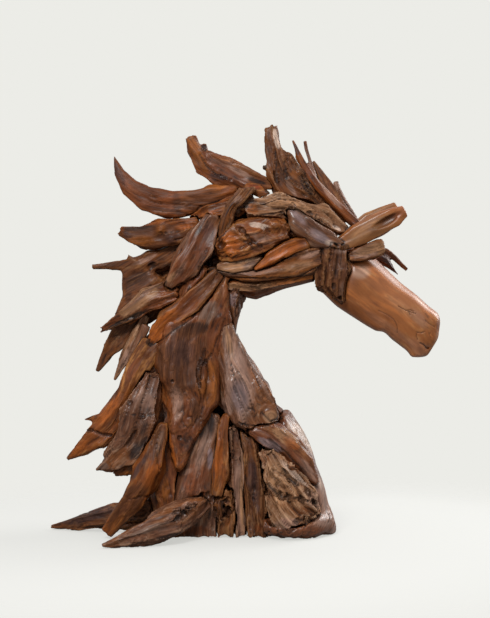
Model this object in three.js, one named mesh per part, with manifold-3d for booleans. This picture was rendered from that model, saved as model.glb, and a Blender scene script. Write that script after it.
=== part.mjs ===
// Horse head bust put together from pieces of driftwood root, in millimetres, +Z up.
// X runs from the mane to the muzzle, -Y is the show side, and the bust stands on Z = 0.
// Every piece is a loft: a bent grain line with a width and a depth at each of its points.
import * as THREE from "three";
import { mergeVertices } from "three/addons/utils/BufferGeometryUtils.js";
import Module from "manifold-3d";

const wasm = await Module();
wasm.setup();

// Driving dimensions
const BUST_HEIGHT = 1000;
const LAYOUT_HEIGHT = 1000; // height at which the grain lines below are written
const JOINT_GAP = 0.3; // open joint between neighbouring pieces
const STAND_BACK = 44; // moves the bust so that its box stands centred on the origin
const STAND_ASIDE = 3; // the same along X
const FLOOR_REACH = 1500; // half length of the block that trims the feet flat
const RING_PITCH = 50; // distance between the sections of a loft
const PLAIN_PITCH = 90; // the same on a straight piece or one that hardly shows
const FEWEST_RINGS = 4;
const SMALL_SIDES = 7;
const LARGE_SIDES = 9;
const LARGE_PIECE = 95; // a piece at least this wide or deep gets the finer section
const LUMP = 0.075; // how far a section swells and shrinks, as a share of its radius
const LOBES = 3; // swellings round a section
const TURN = 11; // how far the swellings wind round from end to end, in radians
const SPLINTER_STEP = 2.4; // radians from one splinter of a torn end to the next
const CORNER = 0.82; // 1 is an oval section, lower is squarer
const CROWN = 0.12; // how far an end bulges, as a share of its width
const MERGE = 0.001; // vertices closer than this are one
const WELD_TOLERANCE = 0.1; // slivers thinner than this are dropped after a cut
const OVAL_SIDES = 12; // faces round the hollow of an ear
const OVAL_RINGS = 8;
const SEED_FACTOR = 31;
const SEED_RANGE = 997;

// Timbers: the wood that each piece is cut from
const timbers = {
  polished: { color: 0x9a5a30, roughness: 0.38 },
  heartwood: { color: 0x8f4a1c, roughness: 0.55 },
  russet: { color: 0x6b3c26, roughness: 0.65 },
  umber: { color: 0x4c3126, roughness: 0.75 },
  plum: { color: 0x5c4140, roughness: 0.72 },
  pale: { color: 0x8a6a4c, roughness: 0.78 },
};

// Head: the polished muzzle with the rough plates, brows and ears fixed round it
const head = [
  {
    name: "ear_near",
    timber: "polished",
    path: [[215, -46, 694], [290, -54, 734], [350, -58, 764], [386, -56, 782]],
    width: [26, 58, 54, 28],
    depth: [26, 30, 28, 14],
    hollow: { at: [336, -75, 757], size: [88, 22, 20], tilt: 27 },
  },
  {
    name: "brow_near",
    timber: "umber",
    path: [[250, -50, 668], [292, -56, 684], [336, -50, 694]],
    width: [26, 46, 36],
    depth: [40, 44, 34],
  },
  {
    name: "cheek_near",
    timber: "umber",
    path: [[220, -50, 702], [213, -54, 642], [206, -50, 604], [234, -46, 558]],
    width: [72, 90, 86, 16],
    depth: [50, 58, 52, 36],
  },
  {
    name: "temple_near",
    timber: "plum",
    path: [[104, -60, 786], [160, -64, 732], [232, -54, 694]],
    width: [22, 58, 38],
    depth: [32, 50, 44],
  },
  {
    name: "poll_bar",
    timber: "pale",
    path: [[8, -28, 786], [78, -28, 798], [153, -26, 778], [242, -14, 737]],
    width: [44, 66, 58, 20],
    depth: [96, 110, 100, 70],
    pitch: PLAIN_PITCH,
  },
  {
    name: "cheek_strip",
    timber: "heartwood",
    path: [[22, -78, 640], [80, -80, 676], [148, -72, 706]],
    width: [12, 40, 28],
    depth: [26, 42, 36],
  },
  {
    name: "cheek_burl",
    timber: "heartwood",
    path: [[-68, -50, 684], [5, -50, 715], [100, -44, 735]],
    width: [54, 96, 48],
    depth: [80, 104, 90],
  },
  {
    name: "cheek_leaf",
    timber: "pale",
    path: [[-68, -68, 646], [-10, -70, 648], [46, -66, 664]],
    width: [16, 38, 16],
    depth: [32, 42, 30],
    pitch: PLAIN_PITCH,
  },
  {
    name: "jaw_mid",
    timber: "umber",
    path: [[-88, -40, 640], [20, -42, 629], [110, -42, 655], [188, -36, 664]],
    width: [18, 30, 54, 76],
    depth: [60, 92, 94, 80],
    pitch: PLAIN_PITCH,
  },
  {
    name: "jaw_low",
    timber: "russet",
    path: [[-70, -6, 606], [25, -6, 596], [95, -8, 612], [170, -8, 627]],
    width: [34, 48, 36, 34],
    depth: [110, 140, 136, 116],
    pitch: PLAIN_PITCH,
  },
  {
    name: "brow_far",
    timber: "russet",
    path: [[262, 46, 690], [330, 52, 676], [383, 44, 630]],
    width: [40, 38, 8],
    depth: [40, 40, 16],
    spur: {
      path: [[318, 54, 704], [360, 62, 682], [406, 64, 643]],
      width: [14, 20, 13],
      depth: [14, 14, 9],
    },
  },
  {
    name: "ear_far",
    timber: "polished",
    path: [[225, 42, 704], [308, 48, 764], [378, 46, 801]],
    width: [22, 46, 26],
    depth: [24, 28, 14],
  },
  {
    name: "cheek_far",
    timber: "umber",
    path: [[226, 52, 690], [215, 54, 636], [206, 48, 594]],
    width: [50, 70, 62],
    depth: [48, 54, 46],
    pitch: PLAIN_PITCH,
  },
  {
    name: "muzzle",
    timber: "polished",
    path: [
      [222, 0, 652],
      [282, 0, 601],
      [367, -4, 538],
      [408, -7, 513],
      [423, -9, 481],
      [422, -10, 430],
    ],
    width: [146, 156, 132, 132, 110, 50],
    depth: [112, 116, 100, 96, 84, 50],
    corner: 0.95,
    lump: 0.012,
    mouth: { at: [444, -10, 451], size: [60, 120, 6], tilt: -24 },
  },
  {
    name: "crown_far",
    timber: "russet",
    path: [[-70, 46, 712], [20, 48, 742], [120, 44, 752], [228, 40, 712]],
    width: [100, 108, 90, 40],
    depth: [80, 100, 96, 60],
    pitch: PLAIN_PITCH,
  },
  {
    name: "jaw_far",
    timber: "umber",
    path: [[-85, 40, 645], [40, 44, 650], [185, 40, 658]],
    width: [66, 112, 88],
    depth: [70, 92, 78],
    pitch: PLAIN_PITCH,
  },
];

// Forelock: long sticks that sweep back from between the ears
const forelock = [
  {
    name: "forelock_fork",
    timber: "russet",
    path: [[117, -14, 958], [148, -20, 890], [190, -26, 830], [272, -26, 752]],
    width: [7, 22, 28, 26],
    depth: [8, 20, 26, 28],
    spur: {
      path: [[146, -4, 957], [153, -8, 925], [172, -18, 868]],
      width: [11, 12, 14],
      depth: [10, 12, 14],
    },
  },
  {
    name: "forelock_dark",
    timber: "umber",
    path: [[167, 12, 911], [200, 10, 852], [246, 2, 762]],
    width: [10, 36, 60],
    depth: [12, 22, 26],
  },
  {
    name: "forelock_pale",
    timber: "plum",
    path: [[224, 26, 862], [236, 24, 828], [270, 14, 768]],
    width: [14, 15, 18],
    depth: [12, 16, 20],
  },
];

// Mane: broken spikes and slabs that fly back from the crest and the nape
const mane = [
  {
    name: "crest_spike",
    timber: "umber",
    path: [[65, -8, 992], [70, -10, 930], [95, -14, 881], [128, -10, 822], [156, -4, 774]],
    width: [34, 48, 84, 108, 136],
    depth: [20, 30, 42, 46, 40],
    splinter: 6,
    spur: { path: [[72, -14, 888], [44, -16, 893]], width: [24, 10], depth: [20, 10] },
  },
  {
    name: "mane_hand",
    timber: "russet",
    path: [
      [-133, 0, 968],
      [-121, 0, 931],
      [-75, -4, 889],
      [-5, -6, 866],
      [70, -8, 843],
    ],
    width: [28, 38, 82, 72, 14],
    depth: [22, 28, 36, 38, 18],
    spur: { path: [[-103, 8, 951], [-93, 4, 900]], width: [14, 24], depth: [14, 22] },
  },
  {
    name: "crest_knot",
    timber: "heartwood",
    path: [[0, -42, 840], [40, -46, 830], [60, -50, 808]],
    width: [16, 28, 28],
    depth: [20, 26, 26],
  },
  {
    name: "mane_horn",
    timber: "russet",
    path: [
      [-322, 0, 923],
      [-301, -2, 867],
      [-252, -6, 820],
      [-165, -10, 802],
      [-90, -12, 815],
      [-20, -14, 838],
    ],
    width: [3, 36, 67, 71, 66, 18],
    depth: [4, 20, 34, 40, 38, 20],
    lump: 0.02,
  },
  {
    name: "root_twist",
    timber: "umber",
    path: [[-58, -74, 690], [-48, -84, 760], [-16, -78, 818], [20, -66, 838]],
    width: [16, 24, 32, 14],
    depth: [22, 30, 34, 20],
  },
  {
    name: "neck_plate",
    timber: "plum",
    path: [[-74, -66, 768], [-105, -72, 706], [-140, -74, 650], [-184, -66, 596]],
    width: [48, 82, 72, 20],
    depth: [50, 56, 54, 30],
    pitch: PLAIN_PITCH,
  },
  {
    name: "mane_stub",
    timber: "heartwood",
    path: [[-306, -8, 738], [-250, -14, 725], [-190, -22, 729], [-112, -28, 758]],
    width: [28, 62, 78, 30],
    depth: [18, 36, 50, 36],
    splinter: 5,
  },
  {
    name: "mane_chip",
    timber: "heartwood",
    path: [[-136, -20, 766], [-62, -30, 788], [24, -40, 802]],
    width: [12, 50, 48],
    depth: [20, 80, 60],
    pitch: PLAIN_PITCH,
  },
  {
    name: "mane_wedge",
    timber: "russet",
    path: [[-348, -44, 496], [-290, -54, 532], [-235, -58, 568], [-168, -56, 596]],
    width: [14, 42, 68, 60],
    depth: [14, 34, 46, 46],
    splinter: 5,
    pitch: PLAIN_PITCH,
  },
  {
    name: "mane_wing",
    timber: "umber",
    path: [[-378, 22, 649], [-320, 20, 652], [-250, 12, 656], [-150, -6, 690]],
    width: [15, 30, 50, 64],
    depth: [12, 20, 32, 40],
    spur: {
      path: [[-238, 10, 644], [-265, 14, 608], [-289, 16, 565], [-320, 14, 528]],
      width: [124, 98, 46, 12],
      depth: [30, 28, 22, 10],
    },
  },
  {
    name: "mane_spike",
    timber: "umber",
    path: [[-363, -6, 392], [-330, -8, 450], [-285, -10, 508], [-205, -8, 572]],
    width: [12, 42, 62, 80],
    depth: [10, 26, 36, 40],
    pitch: PLAIN_PITCH,
  },
  {
    name: "mane_sliver",
    timber: "plum",
    path: [[-279, -46, 412], [-262, -50, 450], [-238, -50, 508]],
    width: [12, 24, 26],
    depth: [12, 18, 24],
    pitch: PLAIN_PITCH,
  },
  {
    name: "mane_pale",
    timber: "pale",
    path: [[-319, -22, 372], [-296, -26, 420], [-263, -30, 488], [-240, -30, 530]],
    width: [10, 27, 28, 26],
    depth: [10, 18, 24, 26],
    pitch: PLAIN_PITCH,
  },
  {
    name: "mane_chunk",
    timber: "plum",
    path: [[-220, -72, 392], [-250, -86, 292], [-277, -84, 212], [-356, -72, 159]],
    width: [42, 90, 86, 16],
    depth: [44, 58, 52, 18],
  },
  {
    name: "mane_barb",
    timber: "heartwood",
    path: [
      [-226, -50, 470],
      [-268, -58, 362],
      [-316, -60, 281],
      [-366, -58, 231],
      [-430, -52, 184],
    ],
    width: [56, 66, 76, 58, 12],
    depth: [50, 46, 44, 36, 12],
    spur: {
      path: [[-318, -62, 282], [-355, -62, 284], [-388, -60, 279]],
      width: [40, 28, 6],
      depth: [34, 24, 8],
    },
  },
  {
    name: "mane_heel",
    timber: "heartwood",
    path: [[-330, -100, 13], [-262, -108, 96], [-222, -108, 172], [-192, -98, 274]],
    width: [32, 58, 70, 12],
    depth: [26, 46, 54, 36],
    pitch: PLAIN_PITCH,
  },
  {
    name: "mane_under",
    timber: "russet",
    path: [[-196, -50, 250], [-256, -56, 184], [-314, -54, 147]],
    width: [70, 70, 14],
    depth: [56, 50, 20],
    pitch: PLAIN_PITCH,
  },
  {
    name: "floor_spike",
    timber: "umber",
    path: [[-480, 30, 7], [-400, 12, 21], [-320, -10, 36], [-220, -22, 56]],
    width: [13, 40, 68, 84],
    depth: [16, 40, 54, 70],
    pitch: PLAIN_PITCH,
  },
];

// Neck: one thick trunk with strips fixed over it
const neck = [
  {
    name: "neck_strip",
    timber: "heartwood",
    path: [[-62, -74, 634], [-116, -84, 570], [-184, -88, 514], [-232, -82, 460]],
    width: [38, 54, 58, 16],
    depth: [44, 52, 48, 36],
  },
  {
    name: "neck_trunk",
    timber: "russet",
    path: [
      [-70, 0, 640],
      [-105, 0, 540],
      [-133, 0, 430],
      [-130, -10, 332],
      [-144, -58, 250],
      [-158, -108, 166],
    ],
    width: [92, 146, 172, 146, 84, 10],
    depth: [150, 190, 206, 204, 126, 24],
  },
  {
    name: "throat",
    timber: "plum",
    path: [[-22, -12, 598], [-32, -16, 545], [-28, -18, 480]],
    width: [58, 48, 14],
    depth: [110, 116, 80],
    pitch: PLAIN_PITCH,
  },
];

// Chest: plates that lean on the front ridge
const chest = [
  {
    name: "shoulder_knot",
    timber: "russet",
    path: [[10, -92, 258], [76, -100, 244], [126, -96, 196], [174, -84, 128]],
    width: [26, 62, 62, 14],
    depth: [40, 52, 46, 24],
  },
  {
    name: "chest_plate",
    timber: "plum",
    path: [[-42, -66, 506], [-19, -72, 400], [12, -74, 328], [46, -70, 262]],
    width: [24, 84, 126, 92],
    depth: [60, 84, 96, 90],
  },
  {
    name: "rough_block",
    timber: "pale",
    path: [[54, -96, 206], [97, -108, 130], [128, -108, 38]],
    width: [44, 122, 138],
    depth: [50, 66, 60],
    pitch: PLAIN_PITCH,
  },
  {
    name: "chest_ridge",
    timber: "russet",
    path: [[-35, -10, 486], [2, -14, 366], [74, -14, 284]],
    width: [20, 46, 52],
    depth: [80, 110, 120],
    pitch: PLAIN_PITCH,
  },
  {
    name: "chest_front",
    timber: "russet",
    path: [[90, -14, 288], [131, -16, 212], [172, -14, 100], [190, -12, -4]],
    width: [46, 58, 60, 64],
    depth: [120, 130, 124, 120],
    spur: {
      path: [[196, -30, 32], [130, -104, 26], [48, -86, 24]],
      width: [64, 58, 52],
      depth: [70, 86, 60],
    },
    pitch: PLAIN_PITCH,
  },
];

// Base: upright roots cut off flat at the floor
const base = [
  {
    name: "foot_root",
    timber: "plum",
    path: [
      [-92, -100, 88],
      [-132, -126, 72],
      [-182, -164, 46],
      [-250, -204, 24],
      [-328, -226, 6],
    ],
    width: [34, 66, 80, 52, 12],
    depth: [44, 66, 80, 56, 16],
  },
  {
    name: "foot_plate",
    timber: "plum",
    path: [[-88, -62, 276], [-114, -72, 170], [-124, -76, -4]],
    width: [36, 96, 120],
    depth: [50, 64, 70],
    pitch: PLAIN_PITCH,
  },
  {
    name: "base_strip",
    timber: "heartwood",
    path: [[-46, -70, 280], [-56, -78, 200], [-68, -78, 100]],
    width: [18, 46, 38],
    depth: [44, 54, 50],
    pitch: PLAIN_PITCH,
  },
  {
    name: "base_rough",
    timber: "umber",
    path: [[-44, -72, 116], [-48, -76, 50], [-52, -68, -4]],
    width: [52, 70, 76],
    depth: [50, 58, 50],
    pitch: PLAIN_PITCH,
  },
  {
    name: "base_column_pale",
    timber: "plum",
    path: [[-30, -48, 264], [-20, -50, 150], [-12, -50, -4]],
    width: [38, 40, 36],
    depth: [84, 88, 80],
    pitch: PLAIN_PITCH,
  },
  {
    name: "base_column_dark",
    timber: "umber",
    path: [[4, -50, 258], [24, -52, 150], [32, -52, -4]],
    width: [30, 54, 66],
    depth: [84, 90, 82],
    pitch: PLAIN_PITCH,
  },
  {
    name: "base_left",
    timber: "russet",
    path: [[-160, -40, 300], [-162, -44, 150], [-150, -40, -4]],
    width: [70, 132, 140],
    depth: [80, 96, 96],
    pitch: PLAIN_PITCH,
  },
];

// Far side: plainer slabs in the same manner
const farSide = [
  {
    name: "neck_plate_far",
    timber: "plum",
    path: [[-40, 52, 790], [-96, 66, 700], [-156, 72, 610], [-206, 66, 548]],
    width: [40, 112, 84, 14],
    depth: [70, 80, 64, 24],
    pitch: PLAIN_PITCH,
  },
  {
    name: "neck_far",
    timber: "russet",
    path: [[-72, 60, 672], [-118, 80, 560], [-142, 92, 440], [-122, 98, 330], [-88, 96, 250]],
    width: [34, 118, 140, 104, 14],
    depth: [60, 84, 88, 78, 30],
    pitch: PLAIN_PITCH,
  },
  {
    name: "mane_far_high",
    timber: "umber",
    path: [[-150, 40, 640], [-226, 60, 600], [-292, 76, 545], [-330, 84, 500]],
    width: [76, 70, 40, 8],
    depth: [60, 46, 30, 10],
    pitch: PLAIN_PITCH,
  },
  {
    name: "mane_far_middle",
    timber: "heartwood",
    path: [[-168, 52, 520], [-226, 74, 440], [-262, 86, 376], [-306, 92, 330]],
    width: [86, 80, 50, 8],
    depth: [66, 54, 34, 10],
    pitch: PLAIN_PITCH,
  },
  {
    name: "mane_far_low",
    timber: "plum",
    path: [[-160, 60, 380], [-218, 84, 290], [-262, 98, 220], [-310, 108, 168]],
    width: [90, 88, 56, 10],
    depth: [80, 64, 42, 12],
    pitch: PLAIN_PITCH,
  },
  {
    name: "chest_far",
    timber: "plum",
    path: [[-52, 48, 505], [-24, 60, 400], [22, 74, 300], [92, 84, 170], [148, 66, 60]],
    width: [20, 70, 112, 110, 44],
    depth: [50, 90, 104, 96, 60],
    pitch: PLAIN_PITCH,
  },
  {
    name: "base_far_middle",
    timber: "russet",
    path: [[-84, 92, 386], [-44, 96, 240], [22, 82, 110], [52, 60, -4]],
    width: [56, 122, 142, 170],
    depth: [36, 96, 130, 150],
    pitch: PLAIN_PITCH,
  },
  {
    name: "base_far_left",
    timber: "umber",
    path: [[-152, 80, 336], [-152, 92, 220], [-122, 84, 100], [-110, 60, -4]],
    width: [16, 92, 140, 160],
    depth: [34, 100, 130, 150],
    spur: {
      path: [[-130, 84, 96], [-200, 104, 44], [-276, 118, 6]],
      width: [90, 60, 12],
      depth: [70, 46, 14],
    },
    pitch: PLAIN_PITCH,
  },
];

// A closed mesh as a solid that can be joined and cut, with its faces turned out
function solidOf(geometry) {
  const bare = geometry.clone();
  bare.deleteAttribute("normal");
  bare.deleteAttribute("uv");
  const merged = mergeVertices(bare, MERGE);
  const mesh = new wasm.Mesh({
    numProp: 3,
    vertProperties: new Float32Array(merged.attributes.position.array),
    triVerts: new Uint32Array(merged.index.array),
  });
  return new wasm.Manifold(mesh);
}

// Values given at the points of a grain line, smoothly in between, never below a hair's width
function along(values, t) {
  const points = values.map((value, i) => new THREE.Vector3(value, i, 0));
  return Math.max(1, new THREE.CatmullRomCurve3(points).getPoint(t).x);
}

// A different but fixed number for each piece, so that no two swell alike
function seedOf(name) {
  return [...name].reduce((sum, letter) => (sum * SEED_FACTOR + letter.charCodeAt(0)) % SEED_RANGE, 0);
}

// One section of a loft: a squarish oval, wider across the picture and deeper along Y
function section(loft, curve, t, sides, grow) {
  const centre = curve.getPoint(t);
  const tangent = curve.getTangent(t);
  const across = new THREE.Vector3(0, 1, 0).cross(tangent).normalize();
  const inward = tangent.clone().cross(across).normalize();
  const halfWidth = along(loft.width, t) / 2 + grow;
  const halfDepth = along(loft.depth, t) / 2 + grow;
  const ring = [];
  for (let i = 0; i < sides; i++) {
    const angle = ((i + 0.5) * 2 * Math.PI) / sides;
    const swell = 1 + loft.lump * Math.sin(LOBES * angle + TURN * t + loft.seed);
    const square = (x) => Math.sign(x) * Math.abs(x) ** loft.corner * swell;
    ring.push(
      centre
        .clone()
        .addScaledVector(across, square(Math.cos(angle)) * halfWidth)
        .addScaledVector(inward, square(Math.sin(angle)) * halfDepth),
    );
  }
  return { centre, tangent, ring, halfWidth };
}

// Pushes the points of an end section in and out, as a torn end is
function tear(end, splinter, direction) {
  end.ring.forEach((point, i) => {
    point.addScaledVector(end.tangent, direction * splinter * Math.sin(SPLINTER_STEP * i));
  });
}

// A closed loft along a grain line; grow makes it that much larger all round
function loftSolid(loft, grow) {
  const points = loft.path.map(([x, y, z]) => new THREE.Vector3(x, y, z));
  const curve = new THREE.CatmullRomCurve3(points);
  const large = Math.max(...loft.width, ...loft.depth) >= LARGE_PIECE;
  const sides = large ? LARGE_SIDES : SMALL_SIDES;
  const stations = Math.max(FEWEST_RINGS, Math.round(curve.getLength() / loft.pitch) + 1);
  const rings = [];
  for (let i = 0; i < stations; i++) {
    rings.push(section(loft, curve, i / (stations - 1), sides, grow));
  }
  const first = rings[0];
  const last = rings[stations - 1];
  tear(first, loft.splinter, -1);
  const vertices = rings.flatMap((ring) => ring.ring);
  const startTip = vertices.length;
  vertices.push(first.centre.clone().addScaledVector(first.tangent, -first.halfWidth * CROWN - grow));
  vertices.push(last.centre.clone().addScaledVector(last.tangent, last.halfWidth * CROWN + grow));
  const faces = [];
  for (let side = 0; side < sides; side++) {
    const next = (side + 1) % sides;
    for (let ring = 0; ring < stations - 1; ring++) {
      const low = ring * sides;
      const high = low + sides;
      faces.push(low + side, high + next, high + side);
      faces.push(low + side, low + next, high + next);
    }
    const top = (stations - 1) * sides;
    faces.push(startTip, next, side);
    faces.push(startTip + 1, top + side, top + next);
  }
  const geometry = new THREE.BufferGeometry().setFromPoints(vertices);
  geometry.setIndex(faces);
  return solidOf(geometry);
}

// The scooped inside of an ear, as an oval to take away
function hollowSolid({ at, size, tilt }) {
  const oval = new THREE.SphereGeometry(0.5, OVAL_SIDES, OVAL_RINGS);
  const [length, breadth, height] = size;
  oval.scale(length, breadth, height);
  oval.rotateY(THREE.MathUtils.degToRad(-tilt));
  oval.translate(...at);
  return solidOf(oval);
}

// The slit between the lips, as a thin wedge to take away
function mouthSolid({ at, size, tilt }) {
  const [length, breadth, height] = size;
  const wedge = new THREE.CylinderGeometry(1, 1, breadth, 3);
  wedge.scale(length / 2, 1, height / 2);
  wedge.rotateY(THREE.MathUtils.degToRad(-tilt));
  wedge.translate(...at);
  return solidOf(wedge);
}

// The whole uncut form of a piece
function formOf(piece, grow = 0) {
  const shared = {
    lump: piece.lump ?? LUMP,
    corner: piece.corner ?? CORNER,
    splinter: piece.splinter ?? 0,
    pitch: piece.pitch ?? RING_PITCH,
    seed: seedOf(piece.name),
  };
  let form = loftSolid({ ...piece, ...shared }, grow);
  if (piece.spur) form = form.add(loftSolid({ ...shared, ...piece.spur, splinter: 0 }, grow));
  return form;
}

// The biggest body left when a cut falls into several
function largestBody(solid) {
  const bodies = solid.decompose();
  return bodies.reduce((best, body) => (body.volume() > best.volume() ? body : best));
}

function boxesMeet(a, b) {
  return [0, 1, 2].every((axis) => a.min[axis] < b.max[axis] && b.min[axis] < a.max[axis]);
}

function geometryOf(solid) {
  const { vertProperties, triVerts } = solid.getMesh();
  const geometry = new THREE.BufferGeometry();
  geometry.setAttribute("position", new THREE.BufferAttribute(vertProperties, 3));
  geometry.setIndex(new THREE.BufferAttribute(triVerts, 1));
  geometry.computeVertexNormals();
  return geometry;
}

// Puts the pieces together: each keeps its full form and is let into by those before it
function assemble(pieces) {
  const bust = new THREE.Group();
  const aboveFloor = solidOf(
    new THREE.BoxGeometry(2 * FLOOR_REACH, 2 * FLOOR_REACH, FLOOR_REACH).translate(0, 0, FLOOR_REACH / 2),
  );
  const envelopes = [];
  for (const piece of pieces) {
    let solid = formOf(piece).intersect(aboveFloor);
    if (piece.hollow) solid = solid.subtract(hollowSolid(piece.hollow));
    if (piece.mouth) solid = solid.subtract(mouthSolid(piece.mouth));
    const reach = solid.boundingBox();
    for (const envelope of envelopes) {
      if (boxesMeet(reach, envelope.boundingBox())) solid = solid.subtract(envelope);
    }
    solid = largestBody(solid).simplify(WELD_TOLERANCE);
    envelopes.push(formOf(piece, JOINT_GAP));
    const { color, roughness } = timbers[piece.timber];
    const material = new THREE.MeshStandardMaterial({ color, roughness, metalness: 0 });
    const mesh = new THREE.Mesh(geometryOf(solid), material);
    mesh.name = piece.name;
    bust.add(mesh);
  }
  const scale = BUST_HEIGHT / LAYOUT_HEIGHT;
  bust.scale.setScalar(scale);
  bust.position.set(STAND_ASIDE * scale, STAND_BACK * scale, 0);
  return bust;
}

export default assemble([...head, ...forelock, ...mane, ...neck, ...chest, ...base, ...farSide]);
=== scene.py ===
"""Dresses a horse head bust of driftwood root: grain, weathering and lacquer on every piece of it.

Sizes of the pieces and of what is worked into them are millimetres; meshes and node trees are in metres.
Places are given as x and z in the picture plane, seen from the show side (-Y), in the bust's own frame.
"""
import logging
import math
from dataclasses import asdict, dataclass, fields
from enum import Enum
from typing import Any, Iterator, NamedTuple

import bmesh
import bpy
import numpy as np
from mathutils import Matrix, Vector, noise
from mathutils.bvhtree import BVHTree


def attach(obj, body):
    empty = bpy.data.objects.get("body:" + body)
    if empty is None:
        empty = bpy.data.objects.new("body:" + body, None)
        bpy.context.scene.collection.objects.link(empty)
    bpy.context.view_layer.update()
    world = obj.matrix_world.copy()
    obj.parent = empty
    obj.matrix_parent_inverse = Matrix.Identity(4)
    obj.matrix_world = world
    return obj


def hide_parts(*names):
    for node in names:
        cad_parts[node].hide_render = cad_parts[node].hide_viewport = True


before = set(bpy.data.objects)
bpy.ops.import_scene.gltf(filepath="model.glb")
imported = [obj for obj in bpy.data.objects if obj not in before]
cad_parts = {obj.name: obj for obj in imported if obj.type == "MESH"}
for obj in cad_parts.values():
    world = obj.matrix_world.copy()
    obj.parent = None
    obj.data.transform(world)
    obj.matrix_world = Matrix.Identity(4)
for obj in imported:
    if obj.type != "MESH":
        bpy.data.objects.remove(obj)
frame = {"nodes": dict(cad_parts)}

LOG = logging.getLogger("bust")
MM = 0.001
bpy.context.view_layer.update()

# Steps of the pieces' meshes, in millimetres
NEAR_VOXEL = 3.0
FINE_VOXEL = 1.9
FAR_VOXEL = 4.0


def linear(code: str) -> tuple[float, float, float, float]:
    """Turns a hex colour into linear light.

    Args:
        code: six hex digits, as seen on a screen.
    Returns:
        Red, green, blue and an alpha of one.
    """
    screen = [int(code[i : i + 2], 16) / 255 for i in (0, 2, 4)]
    light = [c / 12.92 if c <= 0.04045 else ((c + 0.055) / 1.055) ** 2.4 for c in screen]
    return (*light, 1.0)


def smooth_step(value: np.ndarray, low: float, high: float) -> np.ndarray:
    """Rises from 0 at low to 1 at high, with level ends.

    Args:
        value: the numbers to map.
        low: where the result is 0.
        high: where the result is 1.
    Returns:
        Numbers from 0 to 1.
    """
    t = np.clip((value - low) / (high - low), 0, 1)
    return t * t * (3 - 2 * t)


def socket_name(field: str) -> str:
    """Turns a field's name into an input's, such as lump_size into Lump Size."""
    return field.replace("_", " ").title()


class Span(NamedTuple):
    """Maps a pattern's values from low to high smoothly on shares from start to end."""

    low: float
    high: float
    start: float = 0.0
    end: float = 1.0

    def times(self, factor: float) -> "Span":
        """Gives the span with its shares multiplied."""
        return Span(self.low, self.high, self.start * factor, self.end * factor)


class Timber(Enum):
    """The wood that a piece is cut from."""

    POLISHED = "polished"
    HEARTWOOD = "heartwood"
    RUSSET = "russet"
    UMBER = "umber"
    PLUM = "plum"
    PALE = "pale"


@dataclass(frozen=True)
class Relief:
    """How deep and how wide the weather has worked into a piece, in millimetres.

    Lumps are slow swellings, flutes are long hollows between ridges, grooves are the opened grain,
    checks are the few deep drying cracks, and splits are long planes where layers have broken away.
    """

    lump: float
    lump_size: float
    flute: float
    flute_pitch: float
    groove: float
    groove_pitch: float
    check: float
    split: float
    split_pitch: float


class Surface(Enum):
    """What time has made of a piece's surface."""

    POLISHED = Relief(1.2, 70, 0.0, 20, 0.0, 8.0, 0.0, 0.0, 30)
    WORN = Relief(5.0, 80, 2.4, 34, 1.0, 9.0, 4.5, 3.5, 44)
    GRAINED = Relief(4.5, 60, 3.8, 28, 1.7, 9.0, 6.0, 5.0, 34)
    RIBBED = Relief(4.0, 60, 7.0, 22, 2.2, 8.0, 7.0, 6.0, 24)
    GOUGED = Relief(5.0, 50, 10.0, 27, 3.0, 10.0, 8.0, 6.0, 26)


@dataclass(frozen=True)
class Finish:
    """Colours and gloss of one timber.

    Rough is the range of its roughness, streak_pitch the width of its streaks in millimetres, bump how far
    they stand out, and fibre how strongly its fibres show.
    """

    dark: str
    middle: str
    light: str
    second: str
    rough: tuple[float, float]
    coat: float
    coat_rough: float
    specular: float
    streak_pitch: float
    bump: float
    fibre: float


FINISHES: dict[Timber, Finish] = {
    Timber.POLISHED: Finish(
        dark="96552a", middle="b46b36", light="c2824c", second="a9602c", rough=(0.34, 0.44),
        coat=0.35, coat_rough=0.3, specular=0.4, streak_pitch=16.0, bump=0.0, fibre=0.2,
    ),
    Timber.HEARTWOOD: Finish(
        dark="42200d", middle="944e1e", light="b87a42", second="703c1a", rough=(0.36, 0.56),
        coat=0.14, coat_rough=0.26, specular=0.18, streak_pitch=7.0, bump=0.6, fibre=0.8,
    ),
    Timber.RUSSET: Finish(
        dark="32180b", middle="7a401f", light="a2683e", second="8a481b", rough=(0.38, 0.60),
        coat=0.14, coat_rough=0.26, specular=0.18, streak_pitch=7.0, bump=0.7, fibre=0.9,
    ),
    Timber.UMBER: Finish(
        dark="2a150b", middle="744324", light="9c6c44", second="82481d", rough=(0.42, 0.66),
        coat=0.12, coat_rough=0.28, specular=0.18, streak_pitch=6.5, bump=0.85, fibre=1.0,
    ),
    Timber.PLUM: Finish(
        dark="2e1910", middle="784a31", light="a97f62", second="874e25", rough=(0.36, 0.58),
        coat=0.2, coat_rough=0.24, specular=0.25, streak_pitch=7.0, bump=0.7, fibre=0.9,
    ),
    Timber.PALE: Finish(
        dark="3c2114", middle="9c6b47", light="cda482", second="985c34", rough=(0.42, 0.66),
        coat=0.12, coat_rough=0.3, specular=0.2, streak_pitch=6.5, bump=0.9, fibre=1.0,
    ),
}


class StainAndSheen(Enum):
    """Colours that the wood takes in places, and pale ones that paint highlights and sheen on some pieces.
    """

    ORANGE = "a8581f"
    AMBER = "92521f"
    RED = "8a3c1c"
    RUST = "7a401e"
    TAN = "b07f59"
    OLIVE = "8e6438"
    BROWN = "683c22"
    ROSE = "a57c68"
    # pale pinkish white, mostly painted highlights and sheen
    BONE = "d8baa6"
    # lilac grey, also a painted sheen and highlight on some pieces
    LILAC = "8e7472"
    PLUM = "5a3c34"
    GREY = "806150"
    DARK = "331e15"
    BLACK = "180e09"


@dataclass(frozen=True)
class Spot:
    """A place in the picture plane."""

    x: float
    z: float

    def offsets(self, points: np.ndarray) -> tuple[np.ndarray, np.ndarray]:
        """Gives how far to the right of the spot and how far above it each place is, in metres."""
        return points[:, 0] - self.x * MM, points[:, 2] - self.z * MM


@dataclass(frozen=True)
class Knot(Spot):
    """A spot that the grain runs round in rings."""

    radius: float


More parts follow.
